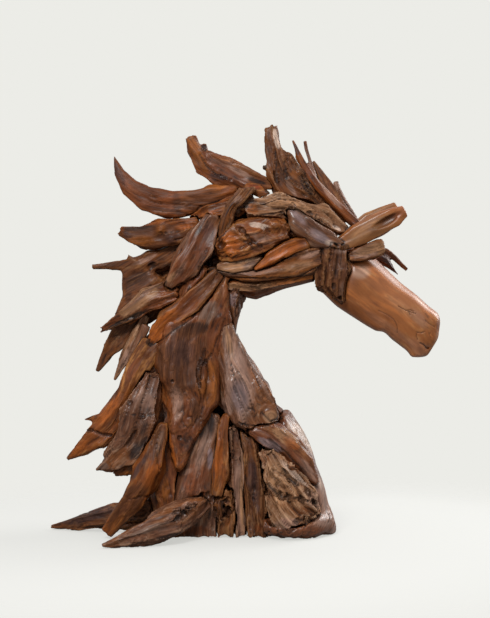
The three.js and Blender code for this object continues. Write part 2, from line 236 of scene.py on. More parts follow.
@dataclass(frozen=True)
class Pull(Spot):
    """Draws a corner of a piece out or in."""

    right: float
    up: float
    reach: float


@dataclass(frozen=True)
class Crack:
    """A thin dark crack that follows a bent line on the show side."""

    line: tuple[tuple[float, float], ...]
    width: float
    depth: float

    # How dark the crack is painted, as shade in it.
    GRIME = 1.0

    def share(self, points: np.ndarray) -> np.ndarray:
        """Finds how far in the crack each place is.

        Args:
            points: places on the piece.
        Returns:
            Numbers from 0, far off, to 1, on the line.
        """
        flat = points[:, [0, 2]]
        gaps = np.full(len(points), np.inf)
        for start, end in zip(self.line, self.line[1:]):
            a, b = np.array(start) * MM, np.array(end) * MM
            t = np.clip((flat - a) @ (b - a) / ((b - a) @ (b - a)), 0, 1)
            gaps = np.minimum(gaps, np.linalg.norm(flat - (a + t[:, None] * (b - a)), axis=1))
        return np.exp(-((gaps / (self.width * MM)) ** 2))


@dataclass(frozen=True)
class Oval(Spot):
    """A soft-edged oval, which works on the show side of a piece."""

    across: float
    up: float

    tilt = 0.0
    FALL = (0.2, 1.0)

    def share(self, points: np.ndarray) -> np.ndarray:
        """Finds how far in the oval each place is.

        Args:
            points: places on the piece.
        Returns:
            Numbers from 0, outside, to 1, in the middle.
        """
        turn = math.radians(self.tilt)
        x, z = self.offsets(points)
        a = (x * math.cos(turn) + z * math.sin(turn)) / (self.across * MM)
        b = (z * math.cos(turn) - x * math.sin(turn)) / (self.up * MM)
        return 1 - smooth_step(np.hypot(a, b), *self.FALL)


@dataclass(frozen=True)
class Patch(Oval):
    """An oval where the wood has another colour; pale ones on some pieces are painted highlights and sheen.
    """

    stain: StainAndSheen
    strength: float = 0.85
    tilt: float = 0.0

    FALL = (0.45, 1.15)


@dataclass(frozen=True)
class Boss(Oval):
    """A swelling, such as a grown-over branch."""

    height: float
    tilt: float = 0.0


@dataclass(frozen=True)
class Pit(Oval):
    """A knot hole, scoop or eroded hollow."""

    depth: float
    tilt: float = 0.0

    FALL = (0.25, 1.0)
    # How dark the pit is painted, as shade in it.
    GRIME = 0.7


@dataclass(frozen=True)
class Crumble(Pit):
    """A place where rot has eaten the wood into crumbs and holes."""

    FALL = (0.5, 1.1)
    # How dark the rot is painted, as shade in its holes.
    GRIME = 0.55
    CRUMB_SIZE = 11 * MM
    ROTTEN = (-0.05, 0.3)

    def share(self, points: np.ndarray) -> np.ndarray:
        """Finds how far in the rot each place is.

        Args:
            points: places on the piece.
        Returns:
            Numbers from 0, sound, to 1, eaten away.
        """
        share = super().share(points)
        rot = [noise.noise(Vector(p) / self.CRUMB_SIZE) if c > 0 else 0 for p, c in zip(points, share)]
        return share * smooth_step(np.array(rot), *self.ROTTEN)


class MeshData:
    """Reads and writes a mesh's arrays."""

    @staticmethod
    def points(mesh: bpy.types.Mesh) -> np.ndarray:
        """Gives the vertices' places, one row each."""
        places = np.empty(len(mesh.vertices) * 3, np.float32)
        mesh.vertices.foreach_get("co", places)
        return places.reshape(-1, 3).astype(float)

    @staticmethod
    def move(mesh: bpy.types.Mesh, points: np.ndarray) -> None:
        """Puts the vertices at new places."""
        mesh.vertices.foreach_set("co", points.astype(np.float32).ravel())
        mesh.update()

    @staticmethod
    def normals(mesh: bpy.types.Mesh) -> np.ndarray:
        """Gives the vertices' outward directions, one row each."""
        directions = np.empty(len(mesh.vertices) * 3, np.float32)
        mesh.vertex_normals.foreach_get("vector", directions)
        return directions.reshape(-1, 3).astype(float)

    @staticmethod
    def edges(mesh: bpy.types.Mesh) -> np.ndarray:
        """Gives the two vertices of each edge."""
        pairs = np.empty(len(mesh.edges) * 2, np.int32)
        mesh.edges.foreach_get("vertices", pairs)
        return pairs.reshape(-1, 2)

    @staticmethod
    def store(mesh: bpy.types.Mesh, name: str, kind: str, values: np.ndarray) -> None:
        """Keeps a value on every vertex.

        Args:
            mesh: the mesh to write to.
            name: the attribute's name.
            kind: FLOAT, FLOAT_VECTOR or FLOAT_COLOR.
            values: one row for each vertex.
        """
        layer = mesh.attributes.get(name) or mesh.attributes.new(name, kind, "POINT")
        key = {"FLOAT": "value", "FLOAT_VECTOR": "vector", "FLOAT_COLOR": "color"}[kind]
        layer.data.foreach_set(key, values.astype(np.float32).ravel())


class Neighbours:
    """The mean of each vertex's neighbours, for smoothing and for finding ridges."""

    def __init__(self, mesh: bpy.types.Mesh) -> None:
        """Reads the mesh's edges."""
        pairs = MeshData.edges(mesh)
        self.count = len(mesh.vertices)
        self.to = np.concatenate([pairs[:, 0], pairs[:, 1]])
        self.other = np.concatenate([pairs[:, 1], pairs[:, 0]])
        self.degree = np.maximum(np.bincount(self.to, minlength=self.count), 1)

    def mean(self, values: np.ndarray) -> np.ndarray:
        """Gives the mean over each vertex's neighbours.

        Args:
            values: one number or one row for each vertex.
        Returns:
            Means of the same shape.
        """
        if values.ndim == 1:
            return np.bincount(self.to, values[self.other], self.count) / self.degree
        return np.stack([self.mean(column) for column in values.T], axis=1)


@dataclass
class GrainLine:
    """The bent line that a piece has grown along, found from its own solid."""

    stations: np.ndarray
    centres: np.ndarray
    lengths: np.ndarray
    tangents: np.ndarray
    lows: np.ndarray
    highs: np.ndarray
    axis: np.ndarray
    middle: np.ndarray
    side: np.ndarray

    SLICE = 30 * MM
    FEWEST, MOST = 4, 22
    SAMPLES = 4000
    LEAST_POINTS = 4
    LEAST_SIDE = 0.3
    LEAST_HALF = 5 * MM
    THINNEST = 0.1 * MM
    SMOOTHINGS = 2

    @classmethod
    def through(cls, points: np.ndarray, along: tuple[float, float, float] | None) -> "GrainLine":
        """Finds the line through the middles of a piece's slices.

        Args:
            points: the piece's vertices.
            along: the rough direction of growth, or None for the piece's longest one.
        Returns:
            The grain line.
        """
        middle = points.mean(0)
        sample = (points - middle)[:: max(1, len(points) // cls.SAMPLES)]
        _, _, axes = np.linalg.svd(sample, full_matrices=False)
        axis = axes[0] if along is None else np.array(along) / np.linalg.norm(along)
        side = axes[1] - axis * (axes[1] @ axis)
        if np.linalg.norm(side) < cls.LEAST_SIDE:
            side = axes[0] - axis * (axes[0] @ axis)
        side /= np.linalg.norm(side)
        place = (points - middle) @ axis
        low, high = place.min(), place.max()
        slices = int(np.clip((high - low) / cls.SLICE, cls.FEWEST, cls.MOST))
        bounds = np.linspace(low, high, slices + 1)
        index = np.clip(np.digitize(place, bounds) - 1, 0, slices - 1)
        stations, centres = [], []
        for k in range(slices):
            chosen = points[index == k]
            if len(chosen) >= cls.LEAST_POINTS:
                stations.append((bounds[k] + bounds[k + 1]) / 2)
                centres.append((chosen.min(0) + chosen.max(0) + 2 * chosen.mean(0)) / 4)
        stations, centres = np.array(stations), np.array(centres)
        for _ in range(cls.SMOOTHINGS):
            centres[1:-1] = (centres[:-2] + 2 * centres[1:-1] + centres[2:]) / 4
        tangents = np.gradient(centres, stations, axis=0)
        tangents /= np.linalg.norm(tangents, axis=1)[:, None]
        steps = np.linalg.norm(np.diff(centres, axis=0), axis=1)
        lengths = np.concatenate([[0], np.cumsum(steps)])
        least = np.full((len(stations), 2), cls.LEAST_HALF)
        line = cls(stations, centres, lengths, tangents, -least, least, axis, middle, side)
        line.measure(points)
        return line

    def at(self, table: np.ndarray, place: np.ndarray) -> np.ndarray:
        """Looks up a row for each place along the line.

        Args:
            table: one row for each station.
            place: distances along the axis.
        Returns:
            One interpolated row for each place.
        """
        if table.ndim == 1:
            return np.interp(place, self.stations, table)
        return np.stack([np.interp(place, self.stations, column) for column in table.T], axis=1)

    def across(self, tangent: np.ndarray) -> np.ndarray:
        """Gives the broad direction of the section, square to the grain at each place."""
        across = self.side - tangent * (tangent @ self.side)[:, None]
        return across / np.linalg.norm(across, axis=1)[:, None]

    def unroll(self, points: np.ndarray) -> tuple[np.ndarray, np.ndarray]:
        """Straightens the piece.

        Args:
            points: places on the piece.
        Returns:
            Each place as two distances across and one along the grain, and the grain's direction there.
        """
        place = (points - self.middle) @ self.axis
        tangent = self.at(self.tangents, place)
        tangent /= np.linalg.norm(tangent, axis=1)[:, None]
        offset = points - self.at(self.centres, place)
        beyond = np.einsum("ij,ij->i", offset, tangent)
        across = self.across(tangent)
        deep = np.cross(tangent, across)
        u = np.einsum("ij,ij->i", offset, across)
        v = np.einsum("ij,ij->i", offset, deep)
        return np.stack([u, v, self.at(self.lengths, place) + beyond], axis=1), tangent

    def measure(self, points: np.ndarray) -> None:
        """Finds the lowest and highest distance across, both ways, at each station."""
        grain, _ = self.unroll(points)
        place = (points - self.middle) @ self.axis
        reach = max(self.SLICE, (place.max() - place.min()) / len(self.stations)) / 2
        for k, station in enumerate(self.stations):
            chosen = grain[np.abs(place - station) <= reach][:, :2]
            if len(chosen) >= self.LEAST_POINTS:
                self.lows[k], self.highs[k] = chosen.min(0), chosen.max(0)

    def half_sizes(self, points: np.ndarray) -> np.ndarray:
        """Gives half the section's two sizes at each place."""
        place = (points - self.middle) @ self.axis
        return self.at((self.highs - self.lows) / 2, place)

    def squared(self, points: np.ndarray, power: float) -> np.ndarray:
        """Makes a rounded section squarer, as a split plank is.

        Args:
            points: places on the piece.
            power: 2 leaves an ellipse as it is, and more makes it squarer.
        Returns:
            The new places.
        """
        grain, tangent = self.unroll(points)
        place = (points - self.middle) @ self.axis
        half = np.maximum(self.half_sizes(points), self.THINNEST)
        across = (grain[:, :2] - self.at((self.lows + self.highs) / 2, place)) / half
        angle = np.arctan2(across[:, 1], across[:, 0])
        corner = (np.abs(np.cos(angle)) ** power + np.abs(np.sin(angle)) ** power) ** (-1 / power)
        push = across * half * (corner - 1)[:, None]
        side = self.across(tangent)
        return points + side * push[:, :1] + np.cross(tangent, side) * push[:, 1:]


class NodeBench:
    """Adds and joins the nodes of one tree."""

    def __init__(self, tree: bpy.types.NodeTree) -> None:
        """Keeps the tree."""
        self.tree = tree

    def add(self, kind: str, inputs: dict[Any, Any] | None = None, **settings: Any) -> bpy.types.Node:
        """Adds a node.

        Args:
            kind: the node's type name.
            inputs: values or output sockets, by input name or number.
            settings: the node's own properties.
        Returns:
            The node.
        """
        node = self.tree.nodes.new(kind)
        for name, value in settings.items():
            setattr(node, name, value)
        for key, value in (inputs or {}).items():
            if isinstance(value, bpy.types.NodeSocket):
                self.tree.links.new(value, node.inputs[key])
            else:
                node.inputs[key].default_value = value
        return node

    def math(self, operation: str, a: Any, b: Any = 0.0) -> bpy.types.NodeSocket:
        """Joins two numbers by an operation."""
        return self.add("ShaderNodeMath", {0: a, 1: b}, operation=operation).outputs[0]

    def multiply_add(self, a: Any, b: Any, c: Any) -> bpy.types.NodeSocket:
        """Gives a times b plus c."""
        return self.add("ShaderNodeMath", {0: a, 1: b, 2: c}, operation="MULTIPLY_ADD").outputs[0]

    def ramp(self, value: Any, span: Span) -> bpy.types.NodeSocket:
        """Maps a value by a span."""
        inputs = {0: value, **dict(enumerate(span, 1))}
        return self.add("ShaderNodeMapRange", inputs, interpolation_type="SMOOTHSTEP").outputs[0]

    def vector(self, operation: str, a: Any, b: Any) -> bpy.types.NodeSocket:
        """Joins two vectors by an operation."""
        return self.add("ShaderNodeVectorMath", {0: a, 1: b}, operation=operation).outputs[0]

    def scaled(self, vector: Any, scale: Any) -> bpy.types.NodeSocket:
        """Multiplies a vector by a number."""
        inputs = {0: vector, "Scale": scale}
        return self.add("ShaderNodeVectorMath", inputs, operation="SCALE").outputs[0]

    def drawn_out(self, grain: Any, stretch: float, scale: Any) -> bpy.types.NodeSocket:
        """Gives the place in a pattern that changes slower along the grain than across it.

        Args:
            grain: place across and along the grain.
            stretch: the pattern's rate along the grain, as a share of that across it.
            scale: the pattern's rate across the grain.
        Returns:
            The socket with the place.
        """
        return self.scaled(self.vector("MULTIPLY", grain, (1.0, 1.0, stretch)), scale)

    def noise(self, vector: Any, seed: Any, detail: float, rough: float = 0.5) -> bpy.types.NodeSocket:
        """Gives a cloud of numbers between 0 and 1."""
        inputs = {"Vector": vector, "W": seed, "Scale": 1.0, "Detail": detail, "Roughness": rough}
        return self.add("ShaderNodeTexNoise", inputs, noise_dimensions="4D").outputs[0]


class Valley(NamedTuple):
    """A pattern of long crooked valleys with ridges between them.

    Stretch is its rate along the grain as a share of that across it, shift tells it from the other
    patterns, detail is how crooked its valleys are, and edge is how wide.
    """

    stretch: float
    shift: float
    detail: float
    edge: float


class WeatherTree:
    """The node tree that works flutes, opened grain, checks and torn ends into a piece, and keeps the
    painted shade of its hollows.
    """

    SIZES = ("Seed", *(socket_name(field.name) for field in fields(Relief)), "Splinter")
    FLUTES = Valley(stretch=0.11, shift=3.7, detail=1.5, edge=0.16)
    GROOVES = Valley(stretch=0.055, shift=8.1, detail=1.0, edge=0.12)
    CHECKS = Valley(stretch=0.055, shift=15.3, detail=2.0, edge=0.022)
    CHECKED = Span(0.52, 0.6)
    CHECKED_SHIFT = 21.0
    LUMP_STRETCH = 0.45
    LUMP_GAIN = 4.0
    SPLIT_STRETCH = 0.16
    SPLINTER_PITCH = 7 * MM
    SPLINTER_SHIFT = 31.0
    SPLINTER_GAIN = 3.0
    DRIFT = 56 * MM
    DRIFT_SIZE = 90 * MM
    DRIFT_STRETCH = 0.6
    DRIFT_SHIFT = 40.0
    FLUTE_SHADE = 0.55
    GROOVE_SHADE = 0.5
    NOISE_MIDDLE = 0.5

    def __init__(self) -> None:
        """Builds the tree with its named inputs."""
        self.tree = bpy.data.node_groups.new("weathered_root", "GeometryNodeTree")
        self.bench = NodeBench(self.tree)
        self._socket("Geometry", "NodeSocketGeometry")
        self._socket("Geometry", "NodeSocketGeometry", "OUTPUT")
        self.keys = {name: self._socket(name, "NodeSocketFloat") for name in self.SIZES}
        self.keys["Finish"] = self._socket("Finish", "NodeSocketMaterial")
        self._lay_out()

    def _socket(self, name: str, kind: str, way: str = "INPUT") -> str:
        """Adds an input or output to the tree and gives its key."""
        return self.tree.interface.new_socket(name, in_out=way, socket_type=kind).identifier

    def _attribute(self, name: str, kind: str) -> bpy.types.NodeSocket:
        """Reads an attribute that is kept on the vertices."""
        return self.bench.add("GeometryNodeInputNamedAttribute", {"Name": name}, data_type=kind).outputs[0]

    def _pattern(self, grain: Any, stretch: float, pitch: Any) -> bpy.types.NodeSocket:
        """Gives the place in a pattern of a given pitch across the grain."""
        return self.bench.drawn_out(grain, stretch, self.bench.math("DIVIDE", 1.0, pitch))

    def _centred(self, vector: Any, seed: Any, detail: float) -> bpy.types.NodeSocket:
        """Gives a cloud of numbers round zero."""
        return self.bench.math("SUBTRACT", self.bench.noise(vector, seed, detail), self.NOISE_MIDDLE)

    def _shifted(self, seed: Any, shift: float) -> bpy.types.NodeSocket:
        """Gives the seed of one of the tree's patterns."""
        return self.bench.math("ADD", seed, shift)

    def _valley(self, valley: Valley, grain: Any, pitch: Any, seed: Any) -> bpy.types.NodeSocket:
        """Gives 1 on the floor of long crooked valleys and 0 on the ridges between them.

        Args:
            valley: the pattern.
            grain: place across and along the grain.
            pitch: about the distance from valley to valley.
            seed: the piece's seed.
        Returns:
            The socket with the depth share.
        """
        place = self._pattern(grain, valley.stretch, pitch)
        cloud = self._centred(place, self._shifted(seed, valley.shift), valley.detail)
        return self.bench.ramp(self.bench.math("ABSOLUTE", cloud), Span(0.0, valley.edge, 1.0, 0.0))

    def _kept(self, geometry: Any, name: str, kind: str, value: Any) -> bpy.types.NodeSocket:
        """Keeps a value on the vertices under a name."""
        inputs = {"Geometry": geometry, "Name": name, "Value": value}
        node = self.bench.add("GeometryNodeStoreNamedAttribute", inputs, data_type=kind, domain="POINT")
        return node.outputs[0]

    def _without_crumbs(self, geometry: Any) -> bpy.types.NodeSocket:
        """Deletes every loose bit but the largest."""
        bench = self.bench
        island = bench.add("GeometryNodeInputMeshIsland").outputs[0]
        inputs = {"Value": 1.0, "Group ID": island}
        share = bench.add("GeometryNodeAccumulateField", inputs, data_type="FLOAT").outputs["Total"]
        inputs = {"Geometry": geometry, "Attribute": share}
        largest = bench.add("GeometryNodeAttributeStatistic", inputs).outputs["Max"]
        crumb = bench.add("FunctionNodeCompare", {0: share, 1: largest}, operation="LESS_THAN").outputs[0]
        inputs = {"Geometry": geometry, "Selection": crumb}
        return bench.add("GeometryNodeDeleteGeometry", inputs).outputs[0]

    def _drifted(self, straight: Any, seed: Any, girth: Any) -> bpy.types.NodeSocket:
        """Bends the grain this way and that, as in root wood."""
        bench = self.bench
        slow = bench.drawn_out(straight, self.DRIFT_STRETCH, 1.0 / self.DRIFT_SIZE)
        inputs = {"Vector": slow, "W": self._shifted(seed, self.DRIFT_SHIFT), "Scale": 1.0, "Detail": 1.0}
        cloud = bench.add("ShaderNodeTexNoise", inputs, noise_dimensions="4D").outputs["Color"]
        level = bench.vector("SUBTRACT", cloud, (self.NOISE_MIDDLE,) * 3)
        return bench.vector("ADD", straight, bench.scaled(level, bench.math("MULTIPLY", girth, self.DRIFT)))

    def _layers(self, grain: Any, pitch: Any, seed: Any) -> bpy.types.NodeSocket:
        """Gives a level for each of the planes where layers have broken away."""
        inputs = {"Vector": self._pattern(grain, self.SPLIT_STRETCH, pitch), "W": seed, "Scale": 1.0}
        plane = self.bench.add("ShaderNodeTexVoronoi", inputs, voronoi_dimensions="4D").outputs["Color"]
        return self.bench.add("ShaderNodeSeparateXYZ", {0: plane}).outputs[0]

    def _frayed(self, grain: Any, splinter: Any, seed: Any) -> bpy.types.NodeSocket:
        """Gives the pull along the grain that tears the ends."""
        bench = self.bench
        torn = bench.drawn_out(grain, 0.0, 1.0 / self.SPLINTER_PITCH)
        ragged = self._centred(torn, self._shifted(seed, self.SPLINTER_SHIFT), 1.0)
        pull = bench.math("MULTIPLY", bench.math("MULTIPLY", ragged, self.SPLINTER_GAIN), splinter)
        return bench.scaled(self._attribute("endwise", "FLOAT_VECTOR"), pull)

    def _lay_out(self) -> None:
        """Puts the nodes together."""
        bench = self.bench
        given = bench.add("NodeGroupInput").outputs
        seed = given["Seed"]
        girth = self._attribute("girth", "FLOAT")
        grain = self._drifted(self._attribute("grain", "FLOAT_VECTOR"), seed, girth)

        slow = self._pattern(grain, self.LUMP_STRETCH, given["Lump Size"])
        swell = bench.math("MULTIPLY", self._centred(slow, seed, 1.0), self.LUMP_GAIN)
        lump = bench.math("MULTIPLY", swell, given["Lump"])
        flute = self._valley(self.FLUTES, grain, given["Flute Pitch"], seed)
        groove = self._valley(self.GROOVES, grain, given["Groove Pitch"], seed)
        crack = self._valley(self.CHECKS, grain, given["Flute Pitch"], seed)
        dry = bench.noise(slow, self._shifted(seed, self.CHECKED_SHIFT), 0.0)
        check = bench.math("MULTIPLY", crack, bench.ramp(dry, self.CHECKED))
        layer = self._layers(grain, given["Split Pitch"], seed)

        depth = bench.math("MULTIPLY", flute, given["Flute"])
        for share, size in ((layer, "Split"), (groove, "Groove"), (check, "Check")):
            depth = bench.multiply_add(share, given[size], depth)
        rise = bench.math("MULTIPLY", bench.math("SUBTRACT", lump, depth), girth)
        shift = bench.scaled(bench.add("GeometryNodeInputNormal").outputs[0], rise)
        offset = bench.vector("ADD", shift, self._frayed(grain, given["Splinter"], seed))

        # hollow: painted shade in the flutes, grooves and checks, darker the deeper they are.
        hollow = bench.math("MULTIPLY", flute, self.FLUTE_SHADE)
        for shade in (bench.math("MULTIPLY", groove, self.GROOVE_SHADE), check):
            hollow = bench.math("MAXIMUM", hollow, shade)
        kept = self._kept(self._without_crumbs(given["Geometry"]), "hollow", "FLOAT", hollow)
        worked = bench.add("GeometryNodeSetPosition", {"Geometry": kept, "Offset": offset}).outputs[0]
        worked = self._kept(worked, "grain", "FLOAT_VECTOR", grain)
        real = bench.add("GeometryNodeRealizeInstances", {"Geometry": worked}).outputs[0]
        inputs = {"Geometry": real, "Material": given["Finish"]}
        done = bench.add("GeometryNodeSetMaterial", inputs).outputs[0]
        self.tree.links.new(done, bench.add("NodeGroupOutput").inputs[0])

    def work(self, blank: bpy.types.Object, values: dict[str, Any]) -> bpy.types.Mesh:
        """Weathers a blank.

        Args:
            blank: the object to work on, with its grain kept on its vertices.
            values: a value for each named input.
        Returns:
            A plain mesh.
        """
        modifier = blank.modifiers.new("weather", "NODES")
        modifier.node_group = self.tree
        for name, value in values.items():
            modifier[self.keys[name]] = value
        mesh = evaluated_mesh(blank)
        blank.modifiers.remove(modifier)
        return mesh


def evaluated_mesh(thing: bpy.types.Object) -> bpy.types.Mesh:
    """Makes a plain mesh of an object as its modifiers show it.

    Args:
        thing: the object.
    Returns:
        A new mesh.
    """
    graph = bpy.context.evaluated_depsgraph_get()
    return bpy.data.meshes.new_from_object(thing.evaluated_get(graph), depsgraph=graph)


class Cloud(NamedTuple):
    """A cloudy pattern in the wood.

    Pitch is its size across the grain in millimetres, stretch is its rate along the grain as a share of
    that across it, shift tells it from the other patterns, and detail is how many finer layers it has.
    """

    pitch: float
    stretch: float
    shift: float
    detail: float


class LacquerCoat:
    """Builds the lacquered wood material of one piece."""

    BLOTCHES = Cloud(pitch=42, stretch=0.35, shift=0.0, detail=3.0)
    MOTTLES = Cloud(pitch=13, stretch=0.45, shift=23.0, detail=4.0)
    STREAKS = {"stretch": 0.06, "shift": 5.0, "detail": 3.0}
    FIBRES = Cloud(pitch=3.2, stretch=0.06, shift=9.0, detail=2.0)
    SECOND = Cloud(pitch=55, stretch=0.25, shift=17.0, detail=2.0)
    BLOOMS = Cloud(pitch=24, stretch=0.4, shift=29.0, detail=3.0)
    LINES = Cloud(pitch=15, stretch=0.05, shift=37.0, detail=3.0)
    CLOUD_ROUGH = 0.62
    CLOUD_MIDDLE = 0.5

    BLOTCH_TONE, MOTTLE_TONE, STREAK_TONE = 0.34, 0.38, 0.28
    SECOND_SPAN = Span(0.47, 0.6)
    DARK_SPAN = Span(0.38, 0.49, 0.9, 0.0)
    LIGHT_SPAN = Span(0.5, 0.62)
    BLOOM = "7c5e50"
    BLOOM_SPAN = Span(0.54, 0.68, 0.0, 0.4)

    RAGGED_LEAST = 0.5
    RAGGED_BLOTCH, RAGGED_MOTTLE = 0.45, 0.55
    RAGGED_GAIN = 3.2
    RAGGED_SPAN = Span(0.1, 0.7)
    PATCH_RIM = Span(0.02, 0.3)
    PATCH_TONE = Span(0.36, 0.64, 0.6, 1.4)

    LINE_SPAN = Span(0.0, 0.018, 0.65, 0.0)
    LINED = Span(0.42, 0.56)
    DARK_FIBRE = Span(0.34, 0.5, 0.5, 0.0)
    LIGHT_FIBRE = Span(0.54, 0.7, 0.0, 0.4)

    RUBBED = Span(0.08, 0.7, 0.0, 0.5)
    # Painted shade: concave places and hollows darken towards near black, as the cracks and joints do,
    # partly as grime.
    SUNKEN = Span(-0.1, -0.8)
    SUNKEN_SHADE = 0.7
    DIRT = "120a07"
    DIRT_SHARE = 0.85
    DIRT_ROUGH = 0.5
    ROUGH_FROM, ROUGH_TO = 0.3, 0.9
    FIBRE_BUMP, STREAK_BUMP = 0.5, 0.8
    BUMP_DISTANCE = 1.2 * MM

    def __init__(self, finish: Finish, name: str, seed: float, gloss: float) -> None:
        """Keeps what the material needs and lays out the patterns that it uses more than once.

        Args:
            finish: the timber's colours and gloss.
            name: the piece's name.
            seed: shifts the patterns, so that no two pieces look alike.
            gloss: how much more or less lacquer this piece has than its timber.
        """
        self.finish = finish
        self.gloss = gloss
        self.seed = seed
        self.material = bpy.data.materials.new(f"{name}_wood")
        self.material.use_nodes = True
        self.material.node_tree.nodes.clear()
        self.bench = NodeBench(self.material.node_tree)
        self.grain = self._attribute("grain")["Vector"]
        self.blotch = self._cloud(self.BLOTCHES)
        self.mottle = self._cloud(self.MOTTLES)
        self.streak = self._cloud(Cloud(finish.streak_pitch, **self.STREAKS))
        self.fibre = self._cloud(self.FIBRES)
        tone = self._weighed(self.mottle, self.MOTTLE_TONE, self.blotch, self.BLOTCH_TONE)
        self.tone = self.bench.multiply_add(self.streak, self.STREAK_TONE, tone)

    def _attribute(self, name: str) -> bpy.types.bpy_prop_collection:
        """Gives the outputs of an attribute that is kept on the vertices."""
        return self.bench.add("ShaderNodeAttribute", attribute_name=name).outputs

    def _mixed(self, share: Any, a: Any, b: Any, blend: str = "MIX") -> bpy.types.NodeSocket:
        """Blends two colours."""
        node = self.bench.add("ShaderNodeMix", {0: share, 6: a, 7: b}, data_type="RGBA", blend_type=blend)
        return node.outputs[2]

    def _tinted(self, base: Any, code: str, value: Any, span: Span) -> bpy.types.NodeSocket:
        """Lays a colour over another, by the share that a span makes of a value."""
        return self._mixed(self.bench.ramp(value, span), base, linear(code))

    def _weighed(self, a: Any, a_share: float, b: Any, b_share: float) -> bpy.types.NodeSocket:
        """Adds shares of two numbers."""
        return self.bench.multiply_add(a, a_share, self.bench.math("MULTIPLY", b, b_share))

    def _cloud(self, cloud: Cloud) -> bpy.types.NodeSocket:
        """Gives a pattern's numbers, which lie round a half."""
        place = self.bench.drawn_out(self.grain, cloud.stretch, 1 / (cloud.pitch * MM))
        return self.bench.noise(place, self.seed + cloud.shift, cloud.detail, self.CLOUD_ROUGH)

    def _figured(self) -> bpy.types.NodeSocket:
        """Gives the bare wood's colour, cloudy and with a dull bloom in places."""
        finish = self.finish
        second = self._cloud(self.SECOND)
        base = self._tinted(linear(finish.middle), finish.second, second, self.SECOND_SPAN)
        base = self._tinted(base, finish.dark, self.tone, self.DARK_SPAN)
        base = self._tinted(base, finish.light, self.tone, self.LIGHT_SPAN)
        return self._tinted(base, self.BLOOM, self._cloud(self.BLOOMS), self.BLOOM_SPAN.times(finish.fibre))

    def _stained(self, base: Any) -> bpy.types.NodeSocket:
        """Lays the piece's patches, stains and painted highlights and sheen, over a colour, with ragged
        edges on rough wood.
        """
        bench = self.bench
        stain = self._attribute("stain")
        cover = stain["Alpha"]
        if self.finish.fibre >= self.RAGGED_LEAST:
            ragged = self._weighed(self.blotch, self.RAGGED_BLOTCH, self.mottle, self.RAGGED_MOTTLE)
            ragged = bench.math("SUBTRACT", ragged, self.CLOUD_MIDDLE)
            edge = bench.ramp(bench.multiply_add(ragged, self.RAGGED_GAIN, cover), self.RAGGED_SPAN)
            cover = bench.math("MULTIPLY", edge, bench.ramp(cover, self.PATCH_RIM))
        shade = bench.ramp(self.tone, self.PATCH_TONE)
        return self._mixed(cover, base, self._mixed(1.0, stain["Color"], shade, "MULTIPLY"))

    def _lined(self, base: Any) -> bpy.types.NodeSocket:
        """Draws the dark year lines and the fibres on a colour."""
        bench, finish = self.bench, self.finish
        level = bench.math("SUBTRACT", self._cloud(self.LINES), self.CLOUD_MIDDLE)
        line = bench.ramp(bench.math("ABSOLUTE", level), self.LINE_SPAN.times(finish.fibre))
        line = bench.math("MULTIPLY", line, bench.ramp(self.blotch, self.LINED))
        base = self._mixed(line, base, linear(finish.dark))
        base = self._tinted(base, finish.dark, self.fibre, self.DARK_FIBRE.times(finish.fibre))
        return self._tinted(base, finish.light, self.fibre, self.LIGHT_FIBRE.times(finish.fibre))

    def build(self) -> bpy.types.Material:
        """Puts the nodes together.

        Returns:
            The finished material.
        """
        bench, finish = self.bench, self.finish
        wear = self._attribute("wear")["Fac"]
        base = self._lined(self._stained(self._figured()))
        base = self._tinted(base, finish.light, wear, self.RUBBED.times(finish.fibre))
        # Painted shade, partly grime, in concave places, hollows, cracks and joints: darker and rougher
        # there.
        sunken = bench.math("MAXIMUM", bench.ramp(wear, self.SUNKEN), self._attribute("hollow")["Fac"])
        sunken = bench.math("MULTIPLY", sunken, self.SUNKEN_SHADE)
        shade_and_dirt = bench.math("MAXIMUM", sunken, self._attribute("grime")["Fac"])
        base = self._mixed(shade_and_dirt, base, self._mixed(self.DIRT_SHARE, linear(finish.dark), linear(self.DIRT)))

        dull = bench.math("ADD", self.streak, bench.math("MULTIPLY", shade_and_dirt, self.DIRT_ROUGH))
        height = self._weighed(self.fibre, self.FIBRE_BUMP, self.streak, self.STREAK_BUMP)
        inputs = {"Strength": finish.bump, "Distance": self.BUMP_DISTANCE, "Height": height}
        inputs = {
            "Base Color": base,
            "Roughness": bench.ramp(dull, Span(self.ROUGH_FROM, self.ROUGH_TO, *finish.rough)),
            "Normal": bench.add("ShaderNodeBump", inputs).outputs[0],
            "Specular IOR Level": finish.specular,
            "Coat Weight": finish.coat + self.gloss,
            "Coat Roughness": finish.coat_rough,
        }
        shader = bench.add("ShaderNodeBsdfPrincipled", inputs).outputs[0]
        bench.add("ShaderNodeOutputMaterial", {"Surface": shader})
        return self.material


class Solid(NamedTuple):
    """A solid's corners, its triangles and the two ends of its box."""

    points: np.ndarray
    faces: np.ndarray
    low: np.ndarray
    high: np.ndarray


